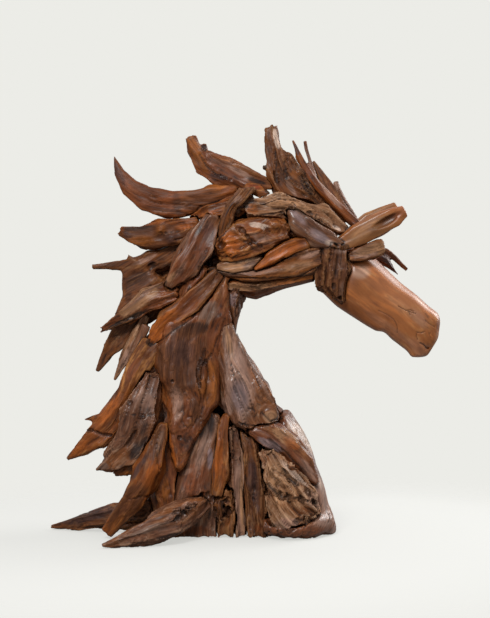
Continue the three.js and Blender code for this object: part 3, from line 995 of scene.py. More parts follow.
class Joints:
    """How close every place on a piece is to the pieces around it."""

    # Joints are darkened within this reach: painted shade between the pieces, partly grime.
    GRIME_REACH = 5.0 * MM
    GRIME_FALL = 1.3

    def __init__(self, nodes: dict[str, bpy.types.Object]) -> None:
        """Collects the solids' triangles.

        Args:
            nodes: the solids by name.
        """
        self.solids = {}
        for name, node in nodes.items():
            corners = np.empty(len(node.data.loops), np.int32)
            node.data.loops.foreach_get("vertex_index", corners)
            points = MeshData.points(node.data)
            self.solids[name] = Solid(points, corners.reshape(-1, 3), points.min(0), points.max(0))

    def nearest(self, name: str, points: np.ndarray, reach: float) -> tuple[np.ndarray, np.ndarray]:
        """Finds the closest place on any other solid.

        Args:
            name: the piece's own node.
            points: places on the piece.
            reach: how far to look, in metres.
        Returns:
            The gap at each place, at most the reach, and the direction to the other solid.
        """
        gaps = np.full(len(points), reach)
        toward = np.zeros((len(points), 3))
        low, high = points.min(0) - reach, points.max(0) + reach
        others = [solid for other, solid in self.solids.items() if other != name]
        near = [solid for solid in others if (solid.low < high).all() and (solid.high > low).all()]
        if not near:
            return gaps, toward
        starts = np.cumsum([0] + [len(solid.points) for solid in near])
        places = np.concatenate([solid.points for solid in near]).tolist()
        faces = np.concatenate([solid.faces + start for solid, start in zip(near, starts)]).tolist()
        tree = BVHTree.FromPolygons(places, faces)
        for i, point in enumerate(points.tolist()):
            found, _, _, gap = tree.find_nearest(point, reach)
            if gap is not None:
                gaps[i] = gap
                toward[i] = (found - Vector(point)).normalized()
        return gaps, toward

    def grime(self, name: str, points: np.ndarray) -> np.ndarray:
        """Gives the painted shade and grime at places on a piece, darkest where another piece is nearest.

        Args:
            name: the piece's own node.
            points: places on the piece.
        Returns:
            Numbers from 0, clean and unshaded, to 1, black.
        """
        gaps, _ = self.nearest(name, points, self.GRIME_REACH)
        return np.clip(1 - gaps / self.GRIME_REACH, 0, 1) ** self.GRIME_FALL


@dataclass
class RootPiece:
    """One piece of root: its wood, and what time and the maker have done to it.

    Voxel is the step of its mesh, splinter how far its ends are torn, rounding the share of its thickness
    that its edges lose, power how square its section is, fit how far it reaches for its neighbours, along
    its rough direction of growth, sink how far it is let in, and gloss what it has over its timber's coat.
    """

    node: str
    timber: Timber
    surface: Surface = Surface.GRAINED
    voxel: float = NEAR_VOXEL
    splinter: float = 4.0
    rounding: float = 0.1
    power: float = 4.2
    fit: float = 30
    along: tuple[float, float, float] | None = None
    sink: float = 0.0
    gloss: float = 0.0
    pulls: tuple[Pull, ...] = ()
    patches: tuple[Patch, ...] = ()
    knots: tuple[Knot, ...] = ()
    cracks: tuple[Crack, ...] = ()
    pits: tuple[Pit, ...] = ()
    bosses: tuple[Boss, ...] = ()
    crumbles: tuple[Crumble, ...] = ()

    SEED_STEP = 1.37
    WELD = 0.01 * MM
    PASSES = 70
    PASS_MOST = 0.9
    ROUNDING_LEAST = 0.8
    ROUNDING_MOST = 12 * MM
    SWELL_LEAST = 4 * MM
    FIT_SHARE = 0.65
    FIT_LEAST = 1.5 * MM
    FIT_LEAN = 1.4
    FIT_FADE = 0.45
    FIT_PASSES = 12
    CARVED_FACING = (0.0, 0.35)
    PATCHED_FACING = (-0.55, 0.1)
    PATCH_LEAST = 1e-6
    FULL_GIRTH = 22 * MM
    LEAST_GIRTH = 0.22
    END_REACH = 16 * MM
    RING_RATE = 1.6
    RING_DRIFT = 0.3
    WEAR_GAIN = 3.0

    def _stock(self) -> bpy.types.Object:
        """Makes an evenly meshed copy of the solid."""
        solid = frame["nodes"][self.node]
        mesh = solid.data.copy()
        shape = bmesh.new()
        shape.from_mesh(mesh)
        bmesh.ops.remove_doubles(shape, verts=shape.verts, dist=self.WELD)
        shape.to_mesh(mesh)
        shape.free()
        blank = bpy.data.objects.new(f"{self.node}_root", mesh)
        bpy.context.scene.collection.objects.link(blank)
        remesh = blank.modifiers.new("even", "REMESH")
        remesh.mode = "VOXEL"
        remesh.voxel_size = self.voxel * MM
        even = evaluated_mesh(blank)
        blank.modifiers.remove(remesh)
        blank.data = even
        bpy.data.meshes.remove(mesh)
        return blank

    def _round_off(self, mesh: bpy.types.Mesh, line: GrainLine) -> None:
        """Squares the section, then rounds its flats and edges, less where the piece is thin."""
        points = line.squared(MeshData.points(mesh), self.power)
        around = Neighbours(mesh)
        half = line.half_sizes(points).min(1)
        step = self.voxel * MM
        spread = np.clip(self.rounding * half, step * self.ROUNDING_LEAST, self.ROUNDING_MOST)
        rate = np.clip(2 * spread**2 / (step**2 * self.PASSES), 0, self.PASS_MOST)[:, None]
        for _ in range(self.PASSES):
            points += rate * (around.mean(points) - points)
        MeshData.move(mesh, points)
        swell = (spread**2 / (2 * np.maximum(half, self.SWELL_LEAST)))[:, None]
        MeshData.move(mesh, points + MeshData.normals(mesh) * swell)

    def _pull(self, mesh: bpy.types.Mesh) -> None:
        """Lets the piece into what lies behind it and draws its corners to where they belong."""
        points = MeshData.points(mesh)
        points[:, 1] += self.sink * MM
        for pull in self.pulls:
            share = 1 - smooth_step(np.hypot(*pull.offsets(points)), 0, pull.reach * MM)
            points[:, 0] += share * pull.right * MM
            points[:, 2] += share * pull.up * MM
        MeshData.move(mesh, points)

    def _fit(self, mesh: bpy.types.Mesh, joints: Joints) -> None:
        """Swells the piece towards its neighbours until the joints close."""
        points, normals = MeshData.points(mesh), MeshData.normals(mesh)
        reach = self.fit * MM
        gaps, toward = joints.nearest(self.node, points, reach)
        facing = np.clip(np.einsum("ij,ij->i", toward, normals) * self.FIT_LEAN, 0, 1)
        fade = 1 - smooth_step(gaps, self.FIT_FADE * reach, reach)
        swell = (gaps * self.FIT_SHARE + self.FIT_LEAST) * facing * fade
        around = Neighbours(mesh)
        for _ in range(self.FIT_PASSES):
            swell = around.mean(swell)
        MeshData.move(mesh, points + normals * swell[:, None])

    def _carve(self, mesh: bpy.types.Mesh) -> None:
        """Cuts the cracks and hollows of the show side, keeps the painted shade in them, and raises its
        bosses.
        """
        points, normals = MeshData.points(mesh), MeshData.normals(mesh)
        shown = smooth_step(-normals[:, 1], *self.CARVED_FACING)
        depth = np.zeros(len(points))
        cut = np.zeros(len(points))
        for mark in (*self.cracks, *self.pits, *self.crumbles):
            share = mark.share(points) * shown
            depth = np.maximum(depth, share * mark.depth * MM)
            # cut: painted shade in the cracks, pits and crumbles.
            cut = np.maximum(cut, share * mark.GRIME)
        for boss in self.bosses:
            depth -= boss.share(points) * shown * boss.height * MM
        MeshData.store(mesh, "cut", "FLOAT", cut)
        MeshData.move(mesh, points - normals * depth[:, None])

    def _lay_grain(self, mesh: bpy.types.Mesh, line: GrainLine) -> None:
        """Keeps the grain, the girth and the ends on the vertices."""
        points = MeshData.points(mesh)
        grain, tangent = line.unroll(points)
        half = line.half_sizes(points).min(1)
        low, high = grain[:, 2].min(), grain[:, 2].max()
        first = 1 - smooth_step(grain[:, 2] - low, 0, self.END_REACH)
        last = 1 - smooth_step(high - grain[:, 2], 0, self.END_REACH)
        for knot in self.knots:
            reach = np.hypot(*knot.offsets(points))
            share = np.exp(-((reach / (knot.radius * MM)) ** 2))[:, None]
            rings = np.stack([reach * self.RING_RATE, reach * 0, grain[:, 2] * self.RING_DRIFT], axis=1)
            grain = grain * (1 - share) + rings * share
        MeshData.store(mesh, "grain", "FLOAT_VECTOR", grain)
        MeshData.store(mesh, "girth", "FLOAT", np.clip(half / self.FULL_GIRTH, self.LEAST_GIRTH, 1))
        MeshData.store(mesh, "endwise", "FLOAT_VECTOR", tangent * (last - first)[:, None])
        MeshData.store(mesh, "stain", "FLOAT_COLOR", self._stains_and_sheens(points, MeshData.normals(mesh)))

    def _stains_and_sheens(self, points: np.ndarray, normals: np.ndarray) -> np.ndarray:
        """Gives the colour of the patches on the show side, stains and painted highlights and sheen, with
        how strong it is as alpha.
        """
        stain = np.zeros((len(points), 4))
        shown = smooth_step(-normals[:, 1], *self.PATCHED_FACING)
        for patch in self.patches:
            share = patch.share(points) * shown * patch.strength
            colour = np.array(linear(patch.stain.value))
            total = stain[:, 3] + share * (1 - stain[:, 3])
            weight = (share / np.maximum(total, self.PATCH_LEAST))[:, None]
            stain[:, :3] = stain[:, :3] * (1 - weight) + colour[:3] * weight
            stain[:, 3] = total
        return stain

    def _age(self, mesh: bpy.types.Mesh, joints: Joints) -> None:
        """Keeps worn ridges, the painted shade of hollows, joints and cracks, partly grime, on the
        vertices, and stands the piece on the floor.
        """
        points = MeshData.points(mesh)
        points[:, 2] = np.maximum(points[:, 2], 0.0)
        MeshData.move(mesh, points)
        around = Neighbours(mesh)
        # Curvature: ridges are worn lighter, and concave places get painted shade.
        lean = np.einsum("ij,ij->i", points - around.mean(points), MeshData.normals(mesh))
        wear = around.mean(lean) / (self.voxel * MM) * self.WEAR_GAIN
        cut = np.empty(len(points), np.float32)
        mesh.attributes["cut"].data.foreach_get("value", cut)
        MeshData.store(mesh, "wear", "FLOAT", np.clip(wear, -1, 1))
        # Painted shade, partly grime, near the other pieces and in the cracks and pits.
        MeshData.store(mesh, "grime", "FLOAT", np.maximum(joints.grime(self.node, points), cut))
        for name in ("cut", "girth", "endwise"):
            mesh.attributes.remove(mesh.attributes[name])

    def build(self, weather: WeatherTree, joints: Joints, number: int) -> bpy.types.Object:
        """Makes the piece and puts it in the place of its solid.

        Args:
            weather: the tree that works the surface.
            joints: the pieces around it.
            number: the piece's number, which seeds its pattern.
        Returns:
            The finished object.
        """
        seed = number * self.SEED_STEP
        blank = self._stock()
        line = GrainLine.through(MeshData.points(blank.data), self.along)
        self._round_off(blank.data, line)
        self._pull(blank.data)
        if self.fit:
            self._fit(blank.data, joints)
        self._lay_grain(blank.data, line)
        self._carve(blank.data)
        values = {socket_name(name): size * MM for name, size in asdict(self.surface.value).items()}
        values |= {
            "Seed": seed,
            "Splinter": self.splinter * MM,
            "Finish": LacquerCoat(FINISHES[self.timber], self.node, seed, self.gloss).build(),
        }
        worked = weather.work(blank, values)
        spare, blank.data = blank.data, worked
        bpy.data.meshes.remove(spare)
        self._age(worked, joints)
        worked.shade_smooth()
        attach(blank, "root")
        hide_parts(self.node)
        LOG.info("%s: %d faces", blank.name, len(worked.polygons))
        return blank


@dataclass
class RootWork:
    """A group of pieces that are fixed to each other."""

    def pieces(self) -> Iterator[RootPiece]:
        """Gives the group's pieces in order."""
        raise NotImplementedError

    def build(self, weather: WeatherTree, joints: Joints, first: int) -> int:
        """Makes the group.

        Args:
            weather: the tree that works the surfaces.
            joints: the solids around each piece.
            first: the number of the group's first piece.
        Returns:
            The number after its last piece.
        """
        number = first
        for piece in self.pieces():
            piece.build(weather, joints, number)
            number += 1
        return number


@dataclass
class Head(RootWork):
    """The polished muzzle with the rough plates, brows and ears round it."""

    def pieces(self) -> Iterator[RootPiece]:
        """Gives the head's pieces in order."""
        yield self._muzzle()
        for part in (self._ears, self._face, self._cheek, self._far_cheek):
            yield from part()

    @staticmethod
    def _muzzle() -> RootPiece:
        """Gives the smooth muzzle with its few fine cracks."""
        return RootPiece(
            "muzzle", Timber.POLISHED, Surface.POLISHED, FINE_VOXEL,
            splinter=0, rounding=0.24, power=2, fit=0,
            pulls=(
                Pull(350, 466, -3, 15, 42),
                Pull(464, 516, 7, 3, 42),
                Pull(368, 472, -3, -9, 42),
                Pull(396, 438, 7, -2, 30),
            ),
            patches=(
                Patch(275, 600, 60, 30, StainAndSheen.AMBER, 0.4),
                Patch(270, 545, 60, 16, StainAndSheen.RUST, 0.2, -34),
                Patch(350, 500, 80, 14, StainAndSheen.ROSE, 0.25, -36),
                # painted highlight of the lacquer, pale rose
                Patch(424, 450, 40, 20, StainAndSheen.ROSE, 0.3, -40),
                Patch(424, 522, 34, 16, StainAndSheen.ROSE, 0.4, -50),
                # painted highlight of the lacquer near the eye
                Patch(283, 636, 26, 20, StainAndSheen.BONE, 0.45, 10),
                Patch(384, 548, 50, 16, StainAndSheen.TAN, 0.35, -38),
                Patch(472, 506, 7, 16, StainAndSheen.RUST, 0.7),
            ),
            cracks=(
                Crack(((326, 542), (345, 533), (362, 521), (370, 506), (371, 488)), 1.2, 2.0),
                Crack(((373, 553), (391, 543), (406, 538), (416, 535)), 1.2, 2.2),
                Crack(((394, 543), (403, 544), (412, 540)), 1.2, 2.0),
                Crack(((398, 540), (402, 531)), 1.2, 2.0),
                Crack(((417, 490), (428, 488), (437, 491)), 1.2, 2.2),
                Crack(((418, 490), (417, 480), (420, 471)), 1.1, 2.0),
                Crack(((427, 463), (436, 459), (446, 450)), 1.6, 3.0),
                Crack(((438, 520), (448, 511), (462, 503)), 1.2, 1.6),
            ),
        )

    @staticmethod
    def _ears() -> Iterator[RootPiece]:
        """Gives the two ears, the near one with its scooped hollow."""
        yield RootPiece(
            "ear_near", Timber.POLISHED, Surface.POLISHED, FINE_VOXEL, splinter=0, power=2.6, fit=0,
            patches=(
                Patch(346, 757, 48, 13, StainAndSheen.RED, 0.85, 31),
                Patch(316, 740, 14, 5, StainAndSheen.DARK, 0.7, 28),
                Patch(300, 732, 90, 34, StainAndSheen.OLIVE, 0.6, 30),
                Patch(280, 718, 60, 8, StainAndSheen.TAN, 0.5, 30),
                Patch(300, 747, 60, 6, StainAndSheen.TAN, 0.7, 30),
                Patch(264, 714, 10, 6, StainAndSheen.OLIVE, 0.6, 30),
            ),
            pits=(Pit(346, 757, 44, 13, 7, 31),),
        )
        yield RootPiece(
            "ear_far", Timber.POLISHED, Surface.POLISHED, splinter=0, power=2.6, fit=0,
            patches=(Patch(310, 770, 90, 30, StainAndSheen.OLIVE, 0.7, 28),),
        )

    @staticmethod
    def _face() -> Iterator[RootPiece]:
        """Gives the brows, the temple and the bar over the poll."""
        yield RootPiece(
            "brow_near", Timber.UMBER, splinter=2, fit=24,
            patches=(
                Patch(296, 684, 50, 20, StainAndSheen.ROSE, 0.7, 16),
                Patch(306, 690, 50, 12, StainAndSheen.TAN, 0.85, 16),
                Patch(334, 690, 12, 22, StainAndSheen.TAN, 0.95, -15),
                Patch(260, 668, 9, 6, StainAndSheen.AMBER),
            ),
        )
        yield RootPiece(
            "brow_far", Timber.RUSSET, Surface.WORN, splinter=0, power=2.5, fit=0,
            patches=(Patch(362, 664, 44, 12, StainAndSheen.PLUM, 0.8, -42),),
        )
        yield RootPiece(
            "temple_near", Timber.PLUM, Surface.WORN, sink=6, splinter=2, gloss=0.25,
            patches=(
                Patch(160, 738, 70, 26, StainAndSheen.BROWN, 0.6, -40),
                # painted sheen of the lacquer, lilac
                Patch(184, 718, 34, 14, StainAndSheen.LILAC, 0.95, -36),
                # painted highlight at the lower right
                Patch(204, 704, 12, 8, StainAndSheen.BONE, 0.8, -20),
                Patch(130, 766, 30, 8, StainAndSheen.LILAC, 0.7, -44),
            ),
        )
        yield RootPiece(
            "poll_bar", Timber.PALE, pulls=(Pull(8, 790, -16, 6, 45), Pull(196, 776, 2, 16, 45)),
            patches=(
                Patch(22, 785, 15, 22, StainAndSheen.AMBER, 0.9),
                Patch(110, 795, 80, 18, StainAndSheen.TAN, 0.6, -8),
                Patch(226, 742, 15, 9, StainAndSheen.BONE, 0.8, -30),
                Patch(45, 800, 14, 8, StainAndSheen.GREY, 0.6),
            ),
            cracks=(
                Crack(((130, 768), (160, 762), (185, 757), (212, 744)), 1.8, 4.0),
                Crack(((40, 772), (70, 771), (104, 778)), 1.6, 3.0),
            ),
            pits=(Pit(160, 776, 9, 4, 4, -20), Pit(178, 768, 7, 4, 5, -30), Pit(118, 800, 6, 3, 3)),
        )

    @staticmethod
    def _cheek() -> Iterator[RootPiece]:
        """Gives the near cheek and jaw."""
        yield RootPiece(
            "cheek_near", Timber.UMBER, Surface.RIBBED, splinter=0, along=(0.05, 0, 1), sink=4,
            pulls=(Pull(186, 692, -12, 10, 40),),
            patches=(
                Patch(210, 635, 56, 80, StainAndSheen.BROWN, 0.7),
                Patch(238, 688, 24, 10, StainAndSheen.ROSE, 0.5, 12),
                Patch(238, 590, 10, 24, StainAndSheen.GREY, 0.5),
            ),
            pits=(Pit(234, 566, 11, 6, 9, -30), Pit(216, 600, 5, 8, 4)),
        )
        yield RootPiece(
            "cheek_strip", Timber.HEARTWOOD, Surface.WORN, splinter=2, sink=7,
            patches=(
                Patch(75, 670, 90, 24, StainAndSheen.ORANGE, 0.95, 33),
                Patch(138, 708, 12, 7, StainAndSheen.RUST, 0.7, 10),
            ),
        )
        yield RootPiece(
            "cheek_burl", Timber.HEARTWOOD,
            patches=(
                Patch(-35, 700, 26, 44, StainAndSheen.ORANGE, 0.8, 20),
                # painted highlight, a pale streak on the lacquer
                Patch(36, 746, 30, 8, StainAndSheen.BONE, 0.95, -14),
                Patch(74, 745, 18, 17, StainAndSheen.AMBER, 0.9),
                Patch(42, 716, 44, 16, StainAndSheen.ROSE, 0.6, -22),
                Patch(22, 694, 40, 8, StainAndSheen.BROWN, 0.7, -30),
            ),
            knots=(Knot(74, 744, 18),),
            cracks=(
                Crack(((-8, 738), (15, 712), (45, 692)), 2.0, 5.0),
                Crack(((2, 724), (22, 690)), 1.6, 4.0),
                Crack(((52, 738), (64, 728)), 1.5, 3.0),
            ),
            pits=(Pit(-56, 700, 13, 9, 12, 20),),
            bosses=(Boss(78, 744, 24, 20, 8), Boss(-36, 690, 30, 44, 9, 20)),
        )
        yield RootPiece(
            "cheek_leaf", Timber.PALE, Surface.WORN, splinter=2, sink=6,
            patches=(
                Patch(-30, 644, 36, 14, StainAndSheen.TAN, 0.7),
                Patch(15, 650, 22, 10, StainAndSheen.GREY, 0.6, 20),
            ),
        )
        yield RootPiece(
            "jaw_mid", Timber.UMBER, Surface.WORN, splinter=2,
            patches=(
                Patch(60, 640, 150, 28, StainAndSheen.AMBER, 0.8, 6),
                Patch(20, 636, 100, 11, StainAndSheen.ROSE, 0.85, 4),
                Patch(128, 648, 50, 12, StainAndSheen.TAN, 0.7, 12),
                Patch(160, 676, 34, 10, StainAndSheen.ROSE, 0.5, 20),
            ),
            cracks=(
                Crack(((100, 612), (140, 628), (186, 650)), 1.8, 5.0),
                Crack(((-40, 622), (40, 618), (120, 622)), 1.6, 4.0),
            ),
        )
        yield RootPiece(
            "jaw_low", Timber.RUSSET, Surface.WORN, splinter=0, power=2.4, fit=12,
            patches=(
                Patch(20, 600, 110, 20, StainAndSheen.TAN, 0.7, 2),
                Patch(120, 616, 70, 18, StainAndSheen.AMBER, 0.9, 10),
            ),
        )

    @staticmethod
    def _far_cheek() -> Iterator[RootPiece]:
        """Gives the far cheek, jaw and crown."""
        yield RootPiece("cheek_far", Timber.UMBER, voxel=FAR_VOXEL, splinter=0, along=(0.12, 0, 1))
        yield RootPiece(
            "jaw_far", Timber.UMBER, Surface.WORN, FAR_VOXEL, splinter=0, power=2.2,
            pulls=(Pull(134, 600, 0, 14, 60),),
        )
        yield RootPiece("crown_far", Timber.RUSSET, voxel=FAR_VOXEL)


@dataclass
class Forelock(RootWork):
    """The long sticks that sweep back from between the ears."""

    def pieces(self) -> Iterator[RootPiece]:
        """Gives the forelock's pieces in order."""
        yield RootPiece(
            "forelock_fork", Timber.RUSSET, Surface.WORN, FINE_VOXEL, splinter=1, power=2.5, fit=14,
            patches=(
                Patch(172, 890, 56, 9, StainAndSheen.ROSE, 0.9, -62),
                Patch(212, 822, 50, 9, StainAndSheen.ROSE, 0.8, -50),
                Patch(128, 935, 20, 8, StainAndSheen.PLUM, 0.6, -65),
            ),
        )
        yield RootPiece("forelock_dark", Timber.UMBER, splinter=2, fit=14)
        yield RootPiece(
            "forelock_pale", Timber.PLUM, Surface.WORN, splinter=2, fit=14,
            patches=(
                Patch(228, 850, 14, 12, StainAndSheen.ROSE, 0.8),
                Patch(258, 782, 30, 10, StainAndSheen.ROSE, 0.8, -55),
            ),
        )


@dataclass
class Mane(RootWork):
    """The broken spikes and slabs that fly back from the crest and the nape."""

    def pieces(self) -> Iterator[RootPiece]:
        """Gives the mane's pieces in order."""
        for part in (self._crest, self._nape, self._flying, self._hanging):
            yield from part()

    @staticmethod
    def _crest() -> Iterator[RootPiece]:
        """Gives the high pieces over the poll."""
        yield RootPiece(
            "crest_spike", Timber.UMBER, splinter=7, fit=20,
            patches=(
                # painted highlight on the top right
                Patch(80, 962, 28, 9, StainAndSheen.BONE, 0.9, 100),
                Patch(62, 950, 34, 9, StainAndSheen.BROWN, 0.7, 95),
                Patch(124, 872, 16, 18, StainAndSheen.AMBER, 0.8),
                Patch(114, 842, 32, 7, StainAndSheen.ROSE, 0.7, -58),
                Patch(152, 846, 36, 10, StainAndSheen.DARK, 0.8, -55),
                Patch(82, 860, 18, 24, StainAndSheen.BROWN, 0.7),
                Patch(48, 893, 8, 9, StainAndSheen.BLACK, 0.9),
            ),
            cracks=(
                Crack(((75, 935), (80, 895), (78, 855)), 1.8, 5.0),
                Crack(((98, 905), (104, 865)), 1.6, 4.0),
            ),
        )
        yield RootPiece(
            "mane_hand", Timber.RUSSET, Surface.WORN, splinter=4, power=2.8, fit=20,
            patches=(
                Patch(-112, 918, 54, 13, StainAndSheen.AMBER, 0.9, -63),
                Patch(-62, 868, 28, 9, StainAndSheen.PLUM, 0.85, -12),
                Patch(-10, 880, 40, 8, StainAndSheen.ROSE, 0.7, -26),
                Patch(-97, 942, 9, 12, StainAndSheen.DARK, 0.9),
                Patch(-60, 905, 36, 8, StainAndSheen.BROWN, 0.6, -8),
                Patch(30, 860, 30, 6, StainAndSheen.DARK, 0.7, -22),
            ),
            cracks=(Crack(((-108, 925), (-92, 895), (-70, 876), (-30, 860)), 1.6, 4.0),),
        )
        yield RootPiece(
            "crest_knot", Timber.HEARTWOOD, Surface.WORN, splinter=0,
            patches=(
                Patch(24, 842, 20, 9, StainAndSheen.RED, 0.9),
                Patch(60, 834, 11, 14, StainAndSheen.DARK, 0.9),
                # painted highlight on the dark knot
                Patch(66, 836, 4, 9, StainAndSheen.LILAC, 0.9),
            ),
            knots=(Knot(60, 834, 16),),
        )
        yield RootPiece(
            "mane_horn", Timber.RUSSET, Surface.WORN, splinter=1, power=3, fit=24, gloss=-0.12,
            patches=(
                Patch(-230, 822, 120, 50, StainAndSheen.RUST, 0.95, -14),
                Patch(-100, 822, 70, 40, StainAndSheen.AMBER, 0.5, 8),
                Patch(-110, 812, 60, 34, StainAndSheen.BROWN, 0.8, 8),
                Patch(-162, 802, 34, 12, StainAndSheen.DARK, 0.5, 98),
                Patch(-308, 880, 50, 12, StainAndSheen.PLUM, 0.6, -60),
                Patch(-200, 786, 80, 8, StainAndSheen.DARK, 0.5, -8),
            ),
        )

    @staticmethod
    def _nape() -> Iterator[RootPiece]:
        """Gives the plates behind the cheek."""
        yield RootPiece(
            "root_twist", Timber.UMBER, splinter=1,
            patches=(
                # painted highlight, pink white
                Patch(-14, 806, 16, 10, StainAndSheen.ROSE, 0.7, 40),
                Patch(-35, 785, 30, 7, StainAndSheen.PLUM, 0.7, 60),
                Patch(-50, 740, 30, 6, StainAndSheen.BROWN, 0.6, 85),
            ),
        )
        yield RootPiece(
            "neck_plate", Timber.PLUM, Surface.WORN, splinter=2, sink=8, gloss=-0.1,
            patches=(
                # painted highlight, pale rose
                Patch(-104, 670, 18, 10, StainAndSheen.ROSE, 0.9, 60),
                Patch(-125, 675, 90, 36, StainAndSheen.RUST, 0.9, 55),
                Patch(-150, 640, 30, 8, StainAndSheen.ROSE, 0.5, 55),
                Patch(-118, 716, 18, 12, StainAndSheen.RUST, 0.7, 40),
                Patch(-84, 728, 16, 34, StainAndSheen.PLUM, 0.6),
                Patch(-172, 622, 16, 8, StainAndSheen.TAN, 0.7, 50),
                Patch(-150, 610, 24, 8, StainAndSheen.RUST, 0.6, 45),
            ),
            cracks=(
                Crack(((-88, 690), (-104, 640)), 1.6, 4.0),
                Crack(((-150, 690), (-175, 640)), 1.4, 3.0),
            ),
        )
        yield RootPiece(
            "mane_chip", Timber.HEARTWOOD, Surface.WORN,
            patches=(
                Patch(-72, 778, 18, 11, StainAndSheen.ORANGE, 0.8, 20),
                Patch(-20, 775, 16, 18, StainAndSheen.GREY, 0.6),
            ),
        )
        yield RootPiece(
            "mane_stub", Timber.HEARTWOOD, Surface.WORN, splinter=7, fit=32, gloss=-0.12,
            bosses=(Boss(-202, 740, 22, 22, 9), Boss(-176, 718, 24, 22, 11)),
            patches=(
                Patch(-210, 720, 110, 44, StainAndSheen.BROWN, 0.8),
                Patch(-248, 712, 40, 14, StainAndSheen.AMBER, 0.9),
                Patch(-202, 740, 17, 16, StainAndSheen.AMBER, 0.95),
                Patch(-176, 718, 22, 18, StainAndSheen.PLUM, 0.95),
                Patch(-138, 747, 30, 9, StainAndSheen.ORANGE, 0.9, 10),
                Patch(-258, 745, 44, 9, StainAndSheen.DARK, 0.85, 4),
                Patch(-284, 728, 14, 10, StainAndSheen.PLUM, 0.8, -30),
            ),
        )

    @staticmethod
    def _flying() -> Iterator[RootPiece]:
        """Gives the wings and spikes that stand off the nape."""
        yield RootPiece(
            "mane_wedge", Timber.RUSSET, splinter=6, fit=26,
            patches=(
                Patch(-250, 576, 90, 30, StainAndSheen.TAN, 0.9, 40),
                Patch(-240, 584, 66, 9, StainAndSheen.ROSE, 0.9, 40),
                Patch(-275, 520, 70, 11, StainAndSheen.BLACK, 0.8, 24),
                Patch(-215, 560, 26, 14, StainAndSheen.RUST, 0.6, 40),
            ),
        )
        yield RootPiece(
            "mane_wing", Timber.UMBER, Surface.WORN, splinter=2, power=2.5, fit=24,
            patches=(
                Patch(-310, 656, 66, 8, StainAndSheen.BROWN, 0.9, 4),
                Patch(-240, 668, 40, 7, StainAndSheen.ROSE, 0.5, 22),
                Patch(-268, 615, 50, 34, StainAndSheen.BROWN, 0.7),
                Patch(-262, 622, 40, 14, StainAndSheen.DARK, 0.6, 20),
                Patch(-284, 578, 10, 34, StainAndSheen.BROWN, 0.7),
                Patch(-225, 655, 14, 12, StainAndSheen.PLUM, 0.6),
            ),
            pits=(Pit(-225, 652, 14, 9, 7, 30),),
        )
        yield RootPiece("mane_spike", Timber.UMBER, Surface.WORN, splinter=1, fit=18)
        yield RootPiece("mane_sliver", Timber.PLUM, Surface.WORN, splinter=1, fit=18)
        yield RootPiece(
            "mane_pale", Timber.PALE, Surface.WORN, splinter=1, fit=18,
            patches=(Patch(-285, 430, 50, 14, StainAndSheen.ROSE, 0.7, 60),),
            cracks=(Crack(((-262, 470), (-285, 425), (-305, 390)), 1.4, 3.0),),
        )
        yield RootPiece(
            "floor_spike", Timber.UMBER, splinter=2, fit=20,
            patches=(
                Patch(-400, 42, 90, 24, StainAndSheen.PLUM, 0.95, 12),
                Patch(-390, 40, 80, 8, StainAndSheen.DARK, 0.6, 12),
            ),
        )

    @staticmethod
    def _hanging() -> Iterator[RootPiece]:
        """Gives the slabs that hang down behind the neck."""
        yield RootPiece(
            "mane_chunk", Timber.PLUM,
            patches=(
                Patch(-236, 330, 30, 40, StainAndSheen.ROSE, 0.7),
                Patch(-262, 372, 18, 24, StainAndSheen.BROWN, 0.6),
                Patch(-245, 215, 44, 26, StainAndSheen.DARK, 0.8, 40),
                Patch(-262, 280, 40, 60, StainAndSheen.BROWN, 0.8),
                Patch(-340, 170, 18, 12, StainAndSheen.GREY, 0.7),
            ),
            cracks=(Crack(((-285, 300), (-240, 292), (-205, 302)), 1.2, 3.0),),
            pits=(Pit(-280, 345, 5, 9, 5), Pit(-272, 325, 4, 6, 4)),
        )
        yield RootPiece(
            "mane_barb", Timber.HEARTWOOD, Surface.WORN, splinter=2, power=2.5, fit=30,
            patches=(
                Patch(-325, 305, 60, 20, StainAndSheen.ORANGE, 0.7, 50),
                Patch(-395, 212, 40, 14, StainAndSheen.ORANGE, 0.7, 35),
                Patch(-375, 288, 16, 8, StainAndSheen.BROWN, 0.8, 20),
                Patch(-300, 240, 30, 10, StainAndSheen.RUST, 0.7, 30),
                Patch(-265, 400, 40, 12, StainAndSheen.RUST, 0.6, 60),
            ),
            cracks=(Crack(((-388, 252), (-366, 256), (-340, 245), (-318, 243)), 2.2, 6.0),),
        )
        yield RootPiece(
            "mane_heel", Timber.HEARTWOOD, Surface.WORN, splinter=2, gloss=-0.1,
            patches=(
                Patch(-206, 235, 54, 26, StainAndSheen.BROWN, 0.85, 75),
                Patch(-198, 232, 34, 9, StainAndSheen.GREY, 0.7, 75),
                Patch(-214, 156, 40, 20, StainAndSheen.ORANGE, 0.8, 58),
                Patch(-275, 80, 80, 34, StainAndSheen.BROWN, 0.95, 52),
                Patch(-246, 175, 50, 9, StainAndSheen.PLUM, 0.7, 60),
                Patch(-300, 40, 30, 10, StainAndSheen.AMBER, 0.7, 50),
            ),
            cracks=(Crack(((-268, 98), (-240, 104), (-215, 100)), 1.5, 3.0),),
        )
        yield RootPiece("mane_under", Timber.RUSSET, patches=(Patch(-275, 150, 40, 10, StainAndSheen.AMBER, 0.7),))


